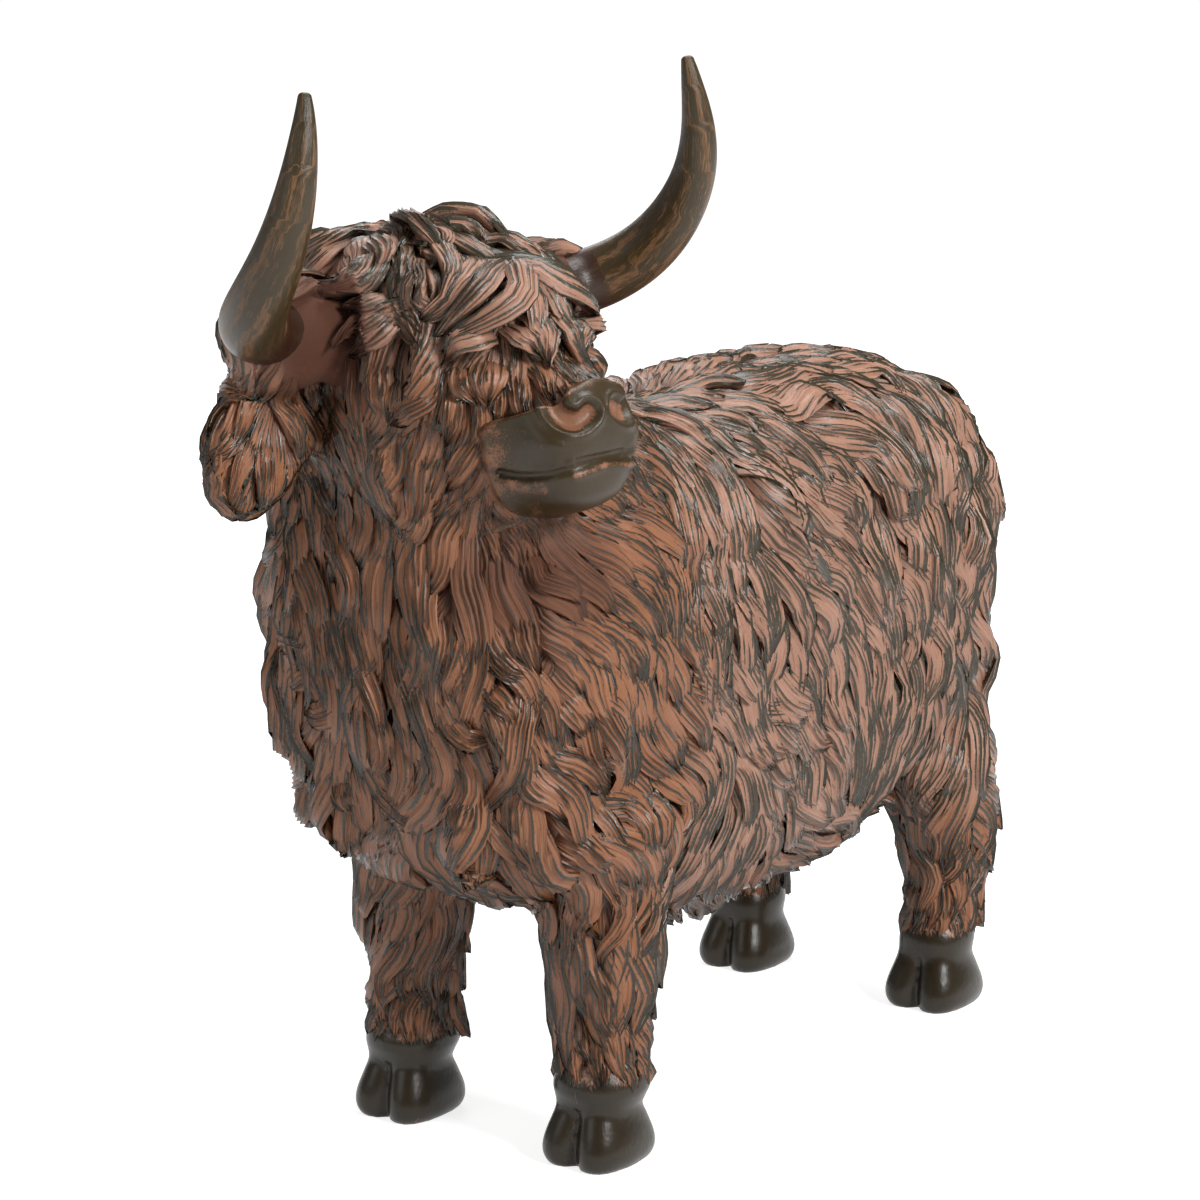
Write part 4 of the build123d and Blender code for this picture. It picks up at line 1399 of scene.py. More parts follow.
@dataclass
class LockMaker:
    """Combs locks over the core and gives them their comb marks with geometry nodes."""

    core: CombedCore
    material: bpy.types.Material
    mark_height: float = 0.95
    fray: float = 3.0
    shortest: float = 0.28
    narrowest: float = 0.45
    comb: bpy.types.NodeTree | None = None

    def roots(self, candidates: np.ndarray, spacing: float, seed: int) -> np.ndarray:
        """Picks evenly scattered roots.

        Args:
            candidates: Places that may carry a root.
            spacing: Least distance between two roots.
            seed: Seed of the order in which they are tried.

        Returns:
            The chosen places.
        """
        order = np.random.default_rng(seed).permutation(len(candidates))
        cells: dict[tuple[int, int, int], list[np.ndarray]] = {}
        chosen = []
        for place in candidates[order]:
            cell = tuple((place // spacing).astype(int))
            near = (
                other
                for i in (-1, 0, 1) for j in (-1, 0, 1) for k in (-1, 0, 1)
                for other in cells.get((cell[0] + i, cell[1] + j, cell[2] + k), ())
            )
            if all(((place - other) ** 2).sum() > spacing**2 for other in near):
                cells.setdefault(cell, []).append(place)
                chosen.append(place)
        return np.array(chosen)

    def trace(self, roots: np.ndarray, style: LockStyle, seed: int) -> dict[str, np.ndarray]:
        """Follows the lie of the hair from each root.

        Args:
            roots: Where the locks start.
            style: Their sizes.
            seed: Seed of their differences.

        Returns:
            The values of each lock at each of its rings.
        """
        chance = np.random.default_rng(seed)
        count, rings = len(roots), style.rings
        share = np.linspace(0, 1, rings)
        length = style.length * (0.75 + 0.5 * chance.random(count))
        width = style.half_width * (0.75 + 0.5 * chance.random(count))
        rise = style.rise * (0.7 + 0.6 * chance.random(count))
        phase = 2.5 * drift(roots, 60, 5.0)
        bend = np.sign(drift(roots, 45, 6.0)) * (0.6 + 0.4 * chance.random(count))
        for _ in range(2):
            centre = np.zeros((count, rings, 3))
            lift, flow = np.zeros_like(centre), np.zeros_like(centre)
            reached = np.ones(count)
            begun = self.core.sample(roots)[2]
            place = roots - begun * (LEAD * length)[:, None]
            bald = no_hair(place) | (horn_hollow(place) > 0.8)
            place = np.where(bald[:, None], roots, place)
            heading, first = None, None
            for ring in range(rings):
                spot, normal, lie = self.core.sample(place)
                first = normal if first is None else first
                turn = math.radians(style.swirl) * np.sin(2 * math.pi * 1.15 * share[ring] + phase)
                turn += math.radians(style.hook) * bend * share[ring] ** 3
                leading = share[ring] < LEAD
                target = flat_on(begun, normal) if leading else turned(lie, normal, turn)
                if heading is not None:
                    target = flat_on(0.5 * heading + 0.5 * target, normal)
                heading = target
                centre[:, ring], lift[:, ring], flow[:, ring] = spot, normal, heading
                folded = (normal * first).sum(1) < -0.1
                ended = no_hair(spot) | (horn_hollow(spot) > 0.9) | folded
                reached = np.where(ended, np.minimum(reached, share[ring]), reached)
                place = spot + heading * (length / (rings - 1))[:, None] + normal * 0.2
            length = length * reached
        if style.flick or style.hang:
            stand = share[None, :, None] ** 2
            centre = centre + (lift * style.flick + DOWN * style.hang) * stand
            flow = unit(np.gradient(centre, axis=1))
            lift = flat_on(lift, flow)
        kept = length > self.shortest * style.length
        slimmer = np.clip(length / style.length, self.narrowest, 1) ** 0.5
        return self.shaped(
            centre[kept], lift[kept], flow[kept], (width * slimmer)[kept], (rise * slimmer)[kept],
            chance.random(count)[kept], style.tip,
        )

    def shaped(
        self, centre: np.ndarray, lift: np.ndarray, flow: np.ndarray,
        width: np.ndarray, rise: np.ndarray, tint: np.ndarray, tip: float,
    ) -> dict[str, np.ndarray]:
        """Gives locks their width and rise along their lines, and bends them over the core.

        Args:
            centre: Places along each lock.
            lift: Normals there.
            flow: Directions there.
            width: Greatest half width of each lock.
            rise: Greatest rise of each lock.
            tint: A number that tells one lock from the next.
            tip: Height of a lock's tip as a share of its rise.

        Returns:
            The values of each lock at each of its rings.
        """
        count, rings = centre.shape[:2]
        share = np.linspace(0, 1, rings)
        side = np.cross(flow, lift)
        swell = width[:, None] * np.interp(share, OUTLINE_AT, OUTLINE)
        drop_left, drop_right = np.zeros((count, rings)), np.zeros((count, rings))
        for ring in range(rings):
            for sign, drop in ((1, drop_left), (-1, drop_right)):
                edge = centre[:, ring] + side[:, ring] * (sign * swell[:, ring])[:, None]
                spot, _, _ = self.core.sample(edge)
                low = ((spot - centre[:, ring]) * lift[:, ring]).sum(1)
                drop[:, ring] = np.clip(low, -1.2 * swell[:, ring], 0.6 * swell[:, ring])
        height = np.interp(share, ARCH_AT, (*ARCH, 0.5 + 0.5 * tip, tip))
        return {
            "centre": centre, "lift": lift, "flow": flow, "side": side,
            "half_width": swell, "rise": rise[:, None] * height,
            "drop_left": drop_left, "drop_right": drop_right,
            "along": np.tile(share, (count, 1)), "tint": np.tile(tint[:, None], (1, rings)),
        }

    def follow(self, part: str, rings: int, seed: int) -> dict[str, np.ndarray]:
        """Lays locks along the picked strokes, on the photographed side and mirrored on the other.

        Args:
            part: Head or body.
            rings: Number of rings of each lock.
            seed: Seed of their tints.

        Returns:
            The values of each lock at each of its rings.
        """
        lines, width, rise = [], [], []
        for stroke, path in self.core.paths[part]:
            for line in (path, self.core.mirrored(part, path)):
                reach = lengths_along(line)
                steps = np.linspace(0, reach[-1], rings)
                evened = [np.interp(steps, reach, line[:, axis]) for axis in range(3)]
                lines.append(np.stack(evened, axis=1))
                width.append(stroke.half_width)
                rise.append(stroke.rise)
        lines = np.array(lines)
        spot, normal, _ = self.core.sample(lines.reshape(-1, 3))
        centre, lift = spot.reshape(lines.shape), normal.reshape(lines.shape)
        flow = flat_on(np.gradient(centre, axis=1), lift)
        tint = np.random.default_rng(seed).random(len(lines))
        tip = 0.4 if part == "head" else 0.15
        return self.shaped(centre, lift, flow, np.array(width), np.array(rise), tint, tip)

    def guide(self, name: str, values: dict[str, np.ndarray]) -> bpy.types.Object:
        """Makes the middle lines of the locks, with their values at each point.

        Args:
            name: Name of the object.
            values: What trace gives.

        Returns:
            The object with the lines.
        """
        count, rings = values["along"].shape
        numbers = np.arange(count * rings).reshape(count, rings)
        edges = np.stack([numbers[:, :-1].ravel(), numbers[:, 1:].ravel()], axis=1)
        mesh = bpy.data.meshes.new(name)
        places = (values["centre"].reshape(-1, 3) + HOOF_MIDDLE) * MM
        mesh.from_pydata(places.tolist(), edges.tolist(), [])
        for key, value in values.items():
            if key == "centre":
                add_values(mesh, key, places)
            elif key in ("lift", "flow", "side"):
                add_values(mesh, key, value.reshape(-1, 3))
            elif key in ("along", "tint"):
                add_values(mesh, key, value.ravel())
            else:
                add_values(mesh, key, value.ravel() * MM)
        add_values(mesh, "shade", shaded(values["centre"].reshape(-1, 3)))
        add_values(mesh, "warm", warmth(values["centre"].reshape(-1, 3)))
        add_values(mesh, "patina", patina(values["centre"].reshape(-1, 3)))
        return new_object(name, mesh)

    def tree(self) -> bpy.types.NodeTree:
        """Builds the node tree that turns middle lines into locks with comb marks.

        Returns:
            The geometry node tree, with named inputs for its sizes.
        """
        tree = bpy.data.node_groups.new("comb_marks", "GeometryNodeTree")
        face = tree.interface
        face.new_socket("Geometry", in_out="INPUT", socket_type="NodeSocketGeometry")
        face.new_socket("Strands", in_out="INPUT", socket_type="NodeSocketInt")
        face.new_socket("Mark Height", in_out="INPUT", socket_type="NodeSocketFloat")
        face.new_socket("Fray", in_out="INPUT", socket_type="NodeSocketFloat")
        face.new_socket("Seed", in_out="INPUT", socket_type="NodeSocketFloat")
        face.new_socket("Finish", in_out="INPUT", socket_type="NodeSocketMaterial")
        face.new_socket("Geometry", in_out="OUTPUT", socket_type="NodeSocketGeometry")
        given = add_node(tree, "NodeGroupInput").outputs
        wires = {name: given[name] for name in ("Strands", "Mark Height", "Fray", "Seed")}
        for name in ("around", "along", "tint", "half_width", "rise", "drop_left", "drop_right"):
            stored = add_node(
                tree, "GeometryNodeInputNamedAttribute", {"data_type": "FLOAT"}, {"Name": name}
            )
            wires[name] = stored.outputs["Attribute"]
        lines = add_node(tree, "GeometryNodeMeshToCurve", None, {"Mesh": given["Geometry"]})
        points = add_node(
            tree, "ShaderNodeMath", {"operation": "MULTIPLY_ADD"},
            {0: given["Strands"], 1: STRAND_POINTS, 2: STRAND_POINTS},
        )
        ring = add_node(
            tree, "GeometryNodeCurvePrimitiveCircle", {"mode": "RADIUS"},
            {"Resolution": points.outputs[0], "Radius": MM},
        )
        numbered = add_node(
            tree, "GeometryNodeStoreNamedAttribute", {"data_type": "FLOAT", "domain": "POINT"},
            {
                "Geometry": ring.outputs["Curve"], "Name": "around",
                "Value": add_node(tree, "GeometryNodeInputIndex").outputs["Index"],
            },
        )
        skin = add_node(
            tree, "GeometryNodeCurveToMesh", None,
            {
                "Curve": lines.outputs["Curve"], "Profile Curve": numbered.outputs["Geometry"],
                "Fill Caps": True
            },
        )
        # two noises, one that makes the strands wander and one that breaks the comb marks off
        strand = add_node(tree, "ShaderNodeCombineXYZ")
        broken = add_node(tree, "ShaderNodeCombineXYZ")
        uneven = add_node(
            tree, "ShaderNodeTexNoise", None,
            {"Vector": strand.outputs[0], "Scale": 1.3, "Detail": 1.0}
        )
        faded = add_node(
            tree, "ShaderNodeTexNoise", None,
            {"Vector": broken.outputs[0], "Scale": 1.0, "Detail": 0.0}
        )
        wires["uneven"] = uneven.outputs["Fac"]
        wires["strong"] = add_node(
            tree, "ShaderNodeMapRange", {"interpolation_type": "SMOOTHSTEP"},
            {
                "Value": faded.outputs["Fac"], "From Min": 0.32, "From Max": 0.62, "To Min": 0.15,
                "To Max": 1.25
            },
        ).outputs["Result"]
        wires["begun"] = add_node(
            tree, "ShaderNodeMapRange", {"interpolation_type": "SMOOTHSTEP"},
            {
                "Value": wires["along"], "From Min": 0.0, "From Max": 0.3, "To Min": 0.35,
                "To Max": 1.0
            },
        ).outputs["Result"]
        for name, operation, *values in COMB_SUMS:
            links = {number: wires.get(value, value) for number, value in enumerate(values)}
            wires[name] = add_node(
                tree, "ShaderNodeMath", {"operation": operation}, links
            ).outputs[0]
        for node, prefix in ((strand, "strand"), (broken, "broken")):
            for axis in "XYZ":
                tree.links.new(wires[f"{prefix} {axis}"], node.inputs[axis])
        place = add_node(
            tree, "GeometryNodeInputNamedAttribute", {"data_type": "FLOAT_VECTOR"},
            {"Name": "centre"}
        ).outputs["Attribute"]
        for way, amount in (("side", "aside"), ("lift", "height"), ("flow", "ahead")):
            vector = add_node(
                tree, "GeometryNodeInputNamedAttribute", {"data_type": "FLOAT_VECTOR"},
                {"Name": way}
            ).outputs["Attribute"]
            part = add_node(
                tree, "ShaderNodeVectorMath", {"operation": "SCALE"},
                {0: vector, "Scale": wires[amount]}
            ).outputs[0]
            place = add_node(
                tree, "ShaderNodeVectorMath", {"operation": "ADD"}, {0: place, 1: part}
            ).outputs[0]
        shaped = add_node(
            tree, "GeometryNodeSetPosition", None,
            {"Geometry": skin.outputs["Mesh"], "Position": place}
        ).outputs["Geometry"]
        for name, value in (("ridge", wires["shown ridge"]), ("across", wires["across"])):
            shaped = add_node(
                tree, "GeometryNodeStoreNamedAttribute", {"data_type": "FLOAT", "domain": "POINT"},
                {"Geometry": shaped, "Name": name, "Value": value},
            ).outputs["Geometry"]
        even = add_node(tree, "GeometryNodeSetShadeSmooth", None, {"Geometry": shaped})
        real = add_node(
            tree, "GeometryNodeRealizeInstances", None, {"Geometry": even.outputs["Geometry"]}
        )
        dressed = add_node(
            tree, "GeometryNodeSetMaterial", None,
            {"Geometry": real.outputs["Geometry"], "Material": given["Finish"]},
        )
        add_node(tree, "NodeGroupOutput", None, {"Geometry": dressed.outputs["Geometry"]})
        return tree

    def grow(
        self, name: str, values: dict[str, np.ndarray], strands: int, seed: float
    ) -> bpy.types.Object:
        """Turns middle lines into a piece of the coat.

        Args:
            name: Name of the piece.
            values: What trace gives.
            strands: Number of strands between comb marks in each lock.
            seed: Shift of the marks' unevenness.

        Returns:
            The piece, a plain mesh that rides on the body.
        """
        if self.comb is None:
            self.comb = self.tree()
        lines = self.guide(name + "_lines", values)
        nodes = lines.modifiers.new("Comb marks", "NODES")
        nodes.node_group = self.comb
        sizes = {
            "Strands": strands, "Mark Height": self.mark_height * MM, "Fray": self.fray * MM,
            "Seed": seed, "Finish": self.material,
        }
        for socket in self.comb.interface.items_tree:
            if socket.in_out == "INPUT" and socket.name in sizes:
                nodes[socket.identifier] = sizes[socket.name]
        seen = lines.evaluated_get(bpy.context.evaluated_depsgraph_get())
        mesh = bpy.data.meshes.new_from_object(seen)
        bpy.data.objects.remove(lines)
        mesh.name = name
        for key in (
            "centre", "lift", "flow", "side", "half_width", "rise", "drop_left", "drop_right",
            "around"
        ):
            if key in mesh.attributes:
                mesh.attributes.remove(mesh.attributes[key])
        if self.inside_out(mesh):
            mesh.flip_normals()
        made = new_object(name, mesh)
        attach(made, "root")
        log.info("%s: %d locks, %d faces", name, len(values["along"]), len(mesh.polygons))
        return made

    def inside_out(self, mesh: bpy.types.Mesh) -> bool:
        """Tells whether the closed shells of a mesh face inwards.

        Args:
            mesh: The mesh.

        Returns:
            True where the volume that its faces enclose comes out negative.
        """
        mesh.calc_loop_triangles()
        corners = np.empty(len(mesh.loop_triangles) * 3, dtype=np.int32)
        mesh.loop_triangles.foreach_get("vertices", corners)
        flat = np.empty(len(mesh.vertices) * 3, dtype=np.float32)
        mesh.vertices.foreach_get("co", flat)
        points = flat.reshape(-1, 3).astype(float)
        a, b, c = (points[corners.reshape(-1, 3)[:, k]] for k in range(3))
        return float((a * np.cross(b, c)).sum()) < 0


# seeds of the roots, of the locks' differences, of the picked locks' tints and of their marks
ROOT_SEED, TRACE_SEED, STROKE_SEED, MARK_SEED = 40, 70, 90, 20.0
STROKE_RINGS = 15


@dataclass
class Coat:
    """All the hair: the core and the locks of each region."""

    core: CombedCore
    finish: WashedCoat

    def build(self) -> None:
        """Builds the core's piece and the locks of every region."""
        material = self.finish.make()
        self.core.build()
        self.core.piece(material)
        maker = LockMaker(self.core, material)
        regions = region_of(self.core.points)
        for number, style in enumerate(STYLES):
            index = list(Region).index(style.region)
            candidates = self.core.points[regions == index]
            if not len(candidates):
                continue
            roots = maker.roots(candidates, style.spacing, ROOT_SEED + number)
            values = maker.trace(roots, style, TRACE_SEED + number)
            limit = TRIANGLE_LIMIT // (style.rings * (4 * style.strands + 4) * 2)
            for part in range(0, len(roots), limit):
                chosen = {key: value[part : part + limit] for key, value in values.items()}
                name = f"coat_{style.region.value}"
                if len(roots) > limit:
                    name += f"_{part // limit + 1}"
                maker.grow(name, chosen, style.strands, float(number))
        for number, (part, strands) in enumerate((("body", 7), ("head", 6))):
            values = maker.follow(part, STROKE_RINGS, STROKE_SEED + number)
            maker.grow(f"coat_main_locks_{part}", values, strands, MARK_SEED + number)


NOSTRIL = Stroke(2.8, -2.8, (552, 389, 551, 399, 555, 411, 564, 419, 576, 422, 587, 418, 591, 412))
LIPS = Stroke(
    1.2, -1.6, (500, 474, 523, 479, 545, 476, 568, 471, 584, 466, 601, 458, 618, 453, 637, 452)
)
# the lower lip's ridge; the muzzle's wash along it is a painted highlight
LOWER_LIP = Stroke(1.9, 0.7, (576, 474, 590, 470, 603, 464, 618, 458, 634, 456))
MOUTH_CORNER = Stroke(4.5, 0.5, (503, 482, 514, 487, 527, 490, 540, 487))


@dataclass
class Muzzle:
    """The bare skin of nose, lips and chin."""

    voxel: float = 0.75
    start: float = 38.0
    nose_colour: str = "#352915"
    flare: float = 1.5
    blending: int = 110
    tuck: float = 3.4
    deep_tuck: float = 5.0

    def build(self) -> bpy.types.Object:
        """Builds the muzzle from the front of the head's solid.

        Returns:
            The piece.
        """
        mesh = remeshed("muzzle", ["head_casting"], self.voxel, self.start)
        points, faces = read_mesh(mesh)
        edges = mesh_edges(mesh)
        points = soften(points, edges, 4)
        blended = soften(points, edges, self.blending)
        lips, nostril = self.reach_all(blended, faces, (LIPS, NOSTRIL))
        near = smooth_step(11.0, 6.0, np.minimum(lips, nostril))[:, None]
        write_points(mesh, soften(points * (1 - near) + blended * near, edges, 3))
        mesh = reskinned(mesh, self.voxel)
        mesh.name = "muzzle"
        mesh.shade_smooth()
        points, faces = read_mesh(mesh)
        edges = mesh_edges(mesh)
        points = soften(points, edges, 3)
        nostril, lips, lower_lip, corner = self.reach_all(
            points, faces, (NOSTRIL, LIPS, LOWER_LIP, MOUTH_CORNER)
        )
        write_points(mesh, points)
        normals = unit(soften(points, edges, 4, point_normals(mesh)))
        sunk = self.bed(nostril, NOSTRIL) + self.bed(lips, LIPS) + self.bed(lower_lip, LOWER_LIP)
        rim = np.exp(-(((nostril - NOSTRIL.half_width - self.flare) / 1.0) ** 2))
        bare = bare_muzzle(points)
        _, left, up = in_head(points)
        inwards = -unit(left[:, None] * LEFTWARD + (up[:, None] + 30) * UPWARD)
        covered = self.tuck * smooth_step(0.5, -5.0, bare)
        covered = covered + self.deep_tuck * smooth_step(-5.0, -12.0, bare)
        points = points + normals * (sunk + 0.8 * rim)[:, None] + inwards * covered[:, None]
        write_points(mesh, soften(points, edges, 1))
        forward, left, up = in_head(points)
        wash = 0.80 * smooth_step(3.1, 2.1, nostril)
        wash = np.maximum(wash, 0.44 * smooth_step(5.0, 1.5, corner))
        # painted highlight: a narrow band of the lighter wash along the lower lip
        wash = np.maximum(wash, 0.52 * smooth_step(1.9, 0.6, lower_lip))
        wash = np.maximum(wash, 0.17 + 0.33 * smooth_step(66, 50, forward))
        wash = np.maximum(wash, 0.56 * smooth_step(4.0, -1.0, bare))
        wash = wash * smooth_step(0.7, 1.5, lips)
        add_values(mesh, "wash", wash)
        mesh.materials.clear()
        finish = RubbedSkin(
            "painted_resin_muzzle", wash="#94674D", wash_deep="#633F2B", base=self.nose_colour,
            base_roughness=0.34, gloss=1.38,
        )
        mesh.materials.append(finish.make())
        made = new_object("muzzle", mesh)
        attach(made, "root")
        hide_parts("head_casting")
        log.info("muzzle: %d faces", len(mesh.polygons))
        return made

    def reach_all(
        self, points: np.ndarray, faces: list[tuple[int, ...]], strokes: tuple[Stroke, ...]
    ) -> list[np.ndarray]:
        """Distance of each point of a skin from each of some strokes picked in the photograph."""
        skin = BVHTree.FromPolygons([Vector(place) for place in points], faces)
        return [self.reach(points, path) for _, path in on_skin(strokes, skin)]

    def reach(self, points: np.ndarray, path: np.ndarray) -> np.ndarray:
        """Measures how far points are from a path or from its mirror image across the face.

        Args:
            points: Places on the skin.
            path: Places along the path.

        Returns:
            Distance of each point in millimetres.
        """
        nearest = np.full(len(points), np.inf)
        for line in (path, across_face(path)):
            for start, end in zip(line[:-1], line[1:]):
                way = end - start
                share = np.clip((points - start) @ way / max(way @ way, 1e-9), 0, 1)
                away = np.linalg.norm(points - start - share[:, None] * way, axis=1)
                nearest = np.minimum(nearest, away)
        return nearest

    def bed(self, away: np.ndarray, stroke: Stroke) -> np.ndarray:
        """Height that a stroke gives to places at these distances from its path."""
        return stroke.rise * smooth_step(1.5 * stroke.half_width, 0.4 * stroke.half_width, away)


@dataclass
class Hooves:
    """The four cloven hooves, at the solid's own surface."""

    top: float = 36.0
    voxel: float = 0.8
    blending: int = 120
    fore_side: float = 37.0
    hind_side: float = 39.1
    tuck: float = 2.4

    def build(self) -> bpy.types.Object:
        """Builds the hooves from the lowest part of the body's solid.

        Returns:
            The piece.
        """
        cut = bmesh.new()
        cut.from_mesh(frame["nodes"]["body_casting"].data)
        bmesh.ops.remove_doubles(cut, verts=cut.verts[:], dist=MERGE)
        sliced = bmesh.ops.bisect_plane(
            cut, geom=cut.verts[:] + cut.edges[:] + cut.faces[:], dist=1e-6,
            plane_co=Vector((0, 0, self.top * MM)), plane_no=Vector((0, 0, 1)), clear_outer=True,
        )
        rim = [piece for piece in sliced["geom_cut"] if isinstance(piece, bmesh.types.BMEdge)]
        bmesh.ops.edgenet_fill(cut, edges=rim)
        mesh = bpy.data.meshes.new("hooves")
        cut.to_mesh(mesh)
        cut.free()
        made_mesh = reskinned(mesh, self.voxel)
        points, _ = read_mesh(made_mesh)
        edges = mesh_edges(made_mesh)
        points = soften(points, edges, 2)
        even = soften(points, edges, self.blending)
        upper = smooth_step(14, 21, points[:, 2])[:, None]
        points = points * (1 - upper) + even * upper
        write_points(made_mesh, points)
        normals = point_normals(made_mesh)
        x, y, z = points.T
        centre_x = np.where(y < 0, self.fore_side, self.hind_side) * np.sign(x)
        cleft = np.abs(x - centre_x)
        wash = 0.30 * smooth_step(2.2, 1.0, cleft) * smooth_step(0.3, 0.9, cleft)
        wash = np.maximum(wash, 0.45 * smooth_step(22, 29, z))
        wash = np.maximum(wash, 0.30 * smooth_step(5, 1, z))
        points = points - normals * (self.tuck * smooth_step(22, 32, z))[:, None]
        points[:, 2] = np.maximum(points[:, 2], 0.0)
        write_points(made_mesh, points)
        made_mesh.shade_smooth()
        add_values(made_mesh, "wash", wash)
        made_mesh.materials.clear()
        finish = RubbedSkin(
            "painted_resin_hoof", base="#261E10", stretch=(1.0, 1.0, 0.3), gloss=1.4
        )
        made_mesh.materials.append(finish.make())
        made = new_object("hooves", made_mesh)
        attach(made, "root")
        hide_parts("body_casting")
        log.info("hooves: %d faces", len(made_mesh.polygons))
        return made


@dataclass
class Horns:
    """The two horns, with a grain that follows each horn's bend."""

    root: float = 36.0
    spread: float = 78.0
    forward: float = 39.0
    rise: float = 72.0
    grain_radius: float = 9.0
    grain_stretch: float = 0.08
    grain_shift: float = 40.0
    shares: tuple[tuple[float, float, float], ...] = (
        (0.00, 0.00, 0.00),
        (0.28, 0.00, 0.01),
        (0.56, 0.02, 0.03),
        (0.76, 0.15, 0.07),
        (0.90, 0.37, 0.15),
        (0.99, 0.76, 0.37),
        (0.99, 0.92, 0.53),
        (0.95, 1.00, 0.72),
        (0.90, 1.00, 0.88),
        (0.87, 0.98, 1.00),
    )

    def build(self) -> None:
        """Builds both horns from their solids."""
        material = StreakedHorn("painted_resin_horn", gloss=1.4).make()
        for side, node in ((1, "horn_left"), (-1, "horn_right")):
            merged = bmesh.new()
            merged.from_mesh(frame["nodes"][node].data)
            bmesh.ops.remove_doubles(merged, verts=merged.verts[:], dist=MERGE)
            mesh = bpy.data.meshes.new(node + "_painted")
            merged.to_mesh(mesh)
            merged.free()
            points, _ = read_mesh(mesh)
            line = np.array(
                [
                    HEAD_ORIGIN
                    + LEFTWARD * side * (self.root + out * (self.spread - self.root))
                    + FACING * ahead * self.forward
                    + UPWARD * up * self.rise
                    for out, ahead, up in self.shares
                ]
            )
            line = np.array(
                [
                    [np.interp(step, np.arange(len(line)), line[:, axis]) for axis in range(3)]
                    for step in np.linspace(0, len(line) - 1, 91)
                ]
            )
            reach = lengths_along(line)
            nearest = np.argmin(((points[:, None] - line[None]) ** 2).sum(2), axis=1)
            away = points - line[nearest]
            tangent = unit(np.gradient(line, axis=0))[nearest]
            across = unit(np.cross(tangent, UPWARD + 0.001))
            other = np.cross(tangent, across)
            turn = np.arctan2((away * other).sum(1), (away * across).sum(1))
            along = reach[nearest]
            grain = np.stack(
                [
                    self.grain_radius * np.cos(turn),
                    self.grain_radius * np.sin(turn),
                    along * self.grain_stretch + side * self.grain_shift,
                ],
                axis=1,
            )
            add_values(mesh, "grain", grain)
            add_values(mesh, "along", along / reach[-1])
            mesh.shade_smooth()
            mesh.materials.clear()
            mesh.materials.append(material)
            made = new_object(node + "_painted", mesh)
            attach(made, "root")
            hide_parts(node)
            log.info("%s: %d faces", made.name, len(mesh.polygons))


@dataclass
class Fittings:
    """The belly plug and the horn pins, which keep their solids and get their finishes."""

    def build(self) -> None:
        """Dresses the solids that stay."""
        for node, material in (
            ("belly_plug", RubbedSkin("painted_resin_plug").make()),
            ("horn_pins", TurnedSteel("turned_steel_pin").make()),
        ):
            solid = frame["nodes"][node]
            for place in solid.material_slots:
                place.material = material


@dataclass(frozen=True)
class Lamp:
    """A square soft lamp: its place and side in metres, and its power in watts."""

    name: str
    place: tuple[float, float, float]
    size: float
    power: float


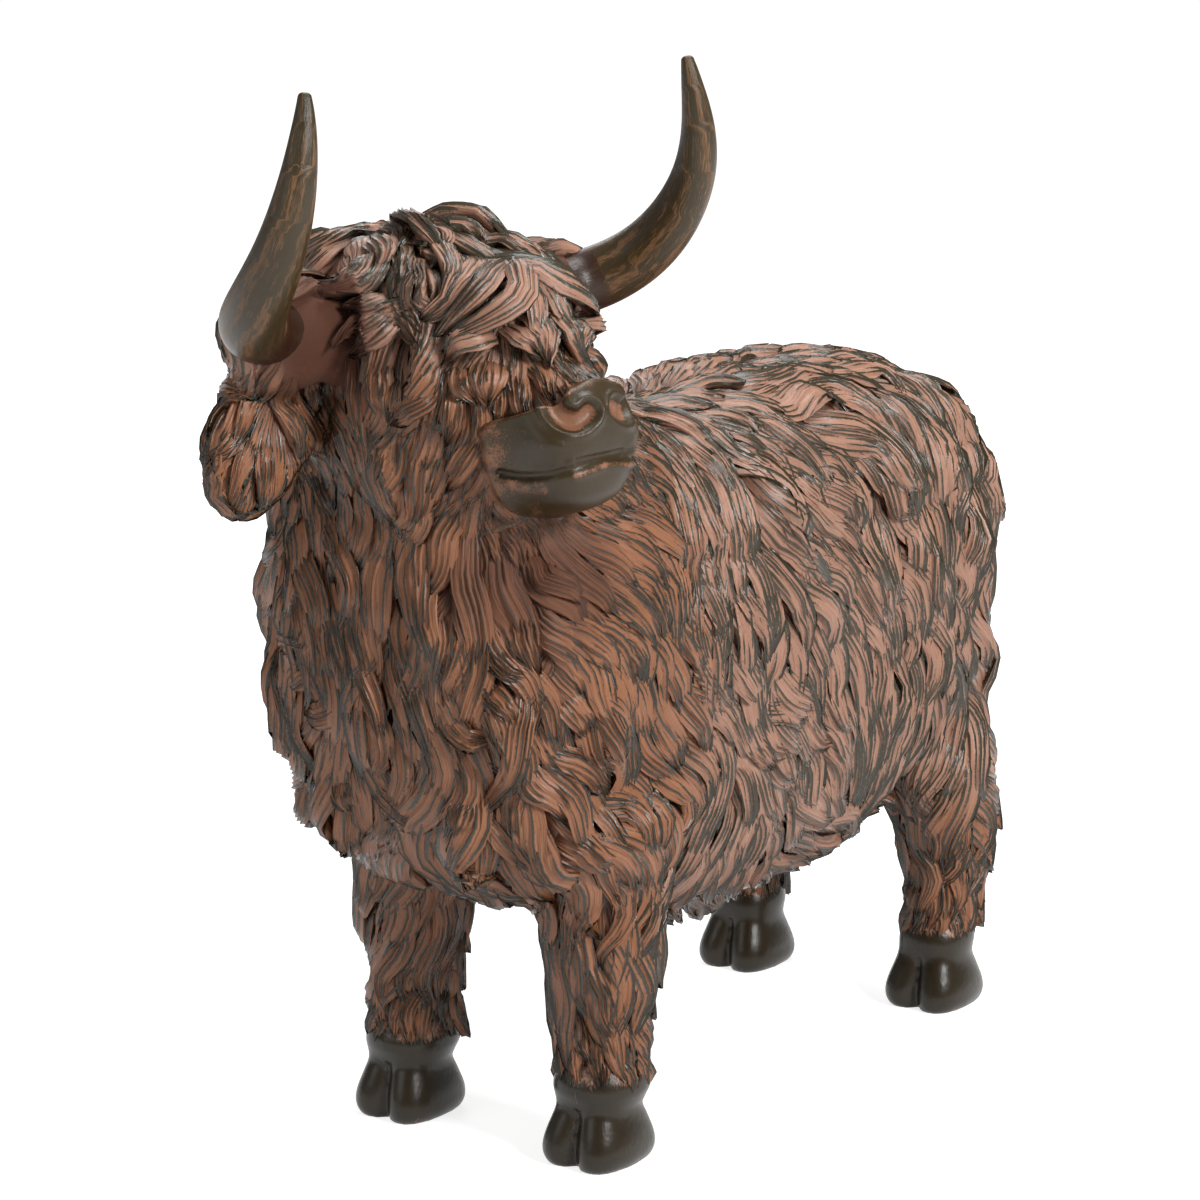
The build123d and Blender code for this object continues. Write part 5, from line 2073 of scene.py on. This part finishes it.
@dataclass
class Studio:
    """The photograph's camera, its soft light, and a pale floor."""

    floor_size: float = 12.0
    sensor: float = 36.0
    aim: tuple[float, float, float] = (0.0, 0.0, 0.15)
    view: PhotoCamera = PhotoCamera()
    lamps: tuple[Lamp, ...] = (
        Lamp("key", (1.45, -0.25, 1.0), 0.40, 29.0),
        Lamp("fill", (-0.5, -1.35, 0.7), 0.7, 3.0),
        Lamp("top", (0.1, 0.35, 1.5), 0.6, 13.0),
        Lamp("rear", (-0.9, 1.0, 0.9), 0.8, 6.0),
    )

    def build(self) -> None:
        """Places the camera, the lamps, the floor and the world."""
        place, right, up, back = self.view.axes()
        place = (place + HOOF_MIDDLE) * MM
        camera = bpy.data.objects.new("camera", bpy.data.cameras.new("camera"))
        camera.data.sensor_width = self.sensor
        camera.data.lens = self.view.focal / self.view.frame_width * self.sensor
        camera.data.clip_start, camera.data.clip_end = 0.05, 20.0
        camera.matrix_world = Matrix(
            [[right[k], up[k], back[k], place[k]] for k in range(3)] + [[0, 0, 0, 1]]
        )
        bpy.context.scene.collection.objects.link(camera)
        bpy.context.scene.camera = camera
        bpy.context.scene.view_settings.view_transform = "Standard"
        for lamp in self.lamps:
            self.hang(lamp)
        self.floor()
        self.world()

    def hang(self, lamp: Lamp) -> None:
        """Hangs a lamp that points at the ornament.

        Args:
            lamp: The lamp's place, size and power.
        """
        light = bpy.data.lights.new(lamp.name, "AREA")
        light.size = lamp.size
        light.energy = lamp.power
        hung = bpy.data.objects.new(lamp.name, light)
        hung.location = lamp.place
        aim = Vector(self.aim) - Vector(lamp.place)
        hung.rotation_euler = aim.to_track_quat("-Z", "Y").to_euler()
        bpy.context.scene.collection.objects.link(hung)

    def floor(self) -> None:
        """Lays the floor, white to the camera, which keeps the ornament's shadow."""
        half = self.floor_size / 2
        mesh = bpy.data.meshes.new("floor")
        corners = [(-half, -half, 0), (half, -half, 0), (half, half, 0), (-half, half, 0)]
        mesh.from_pydata(corners, [], [(0, 1, 2, 3)])
        floor = new_object("floor", mesh)
        material = bpy.data.materials.new("studio_paper")
        material.use_nodes = True
        tree = material.node_tree
        tree.nodes.clear()
        paper = add_node(tree, "ShaderNodeBsdfDiffuse", None, {"Color": linear("#C4C4C4")})
        spot = add_node(tree, "ShaderNodeTexCoord").outputs["Object"]
        away = add_node(
            tree, "ShaderNodeVectorMath", {"operation": "LENGTH"}, {0: spot}
        ).outputs["Value"]
        level = add_node(
            tree, "ShaderNodeMapRange", None,
            {"Value": away, "From Min": 0.25, "From Max": 0.8, "To Min": 0.80, "To Max": 0.97},
        )
        glow = add_node(
            tree, "ShaderNodeEmission", None,
            {"Color": (1, 1, 1, 1), "Strength": level.outputs["Result"]}
        )
        both = add_node(
            tree, "ShaderNodeAddShader", None, {0: paper.outputs[0], 1: glow.outputs[0]}
        )
        ray = add_node(tree, "ShaderNodeLightPath").outputs
        seen = add_node(
            tree, "ShaderNodeMath", {"operation": "MAXIMUM"},
            {0: ray["Is Camera Ray"], 1: ray["Is Glossy Ray"]}
        )
        seen = add_node(
            tree, "ShaderNodeMath", {"operation": "MAXIMUM"},
            {0: seen.outputs[0], 1: ray["Is Transmission Ray"]}
        )
        pick = add_node(
            tree, "ShaderNodeMixShader", None,
            {0: seen.outputs[0], 1: paper.outputs[0], 2: both.outputs[0]}
        )
        add_node(tree, "ShaderNodeOutputMaterial", None, {"Surface": pick.outputs[0]})
        mesh.materials.append(material)
        floor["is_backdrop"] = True

    def world(self) -> None:
        """Surrounds the scene with even light, white to the camera."""
        world = bpy.data.worlds.new("studio")
        bpy.context.scene.world = world
        world.use_nodes = True
        tree = world.node_tree
        tree.nodes.clear()
        ray = add_node(tree, "ShaderNodeLightPath").outputs
        seen = add_node(
            tree, "ShaderNodeMath", {"operation": "MAXIMUM"},
            {0: ray["Is Camera Ray"], 1: ray["Is Transmission Ray"]}
        )
        soft = add_node(
            tree, "ShaderNodeBackground", None, {"Color": (1, 1, 1, 1), "Strength": 0.27}
        )
        white = add_node(
            tree, "ShaderNodeBackground", None, {"Color": (1, 1, 1, 1), "Strength": 1.0}
        )
        pick = add_node(
            tree, "ShaderNodeMixShader", None,
            {0: seen.outputs[0], 1: soft.outputs[0], 2: white.outputs[0]}
        )
        add_node(tree, "ShaderNodeOutputWorld", None, {"Surface": pick.outputs[0]})


def main() -> None:
    """Builds the scene."""
    Studio().build()
    Coat(CombedCore(), WashedCoat("painted_resin_coat")).build()
    Muzzle().build()
    Hooves().build()
    Horns().build()
    Fittings().build()
    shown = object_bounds()
    for name, box in (("solids", CAD_BOX), ("dressed", shown)):
        log.info("%s: %s mm", name, [[round(value / MM, 1) for value in corner] for corner in box])


if __name__ == "__main__":
    main()
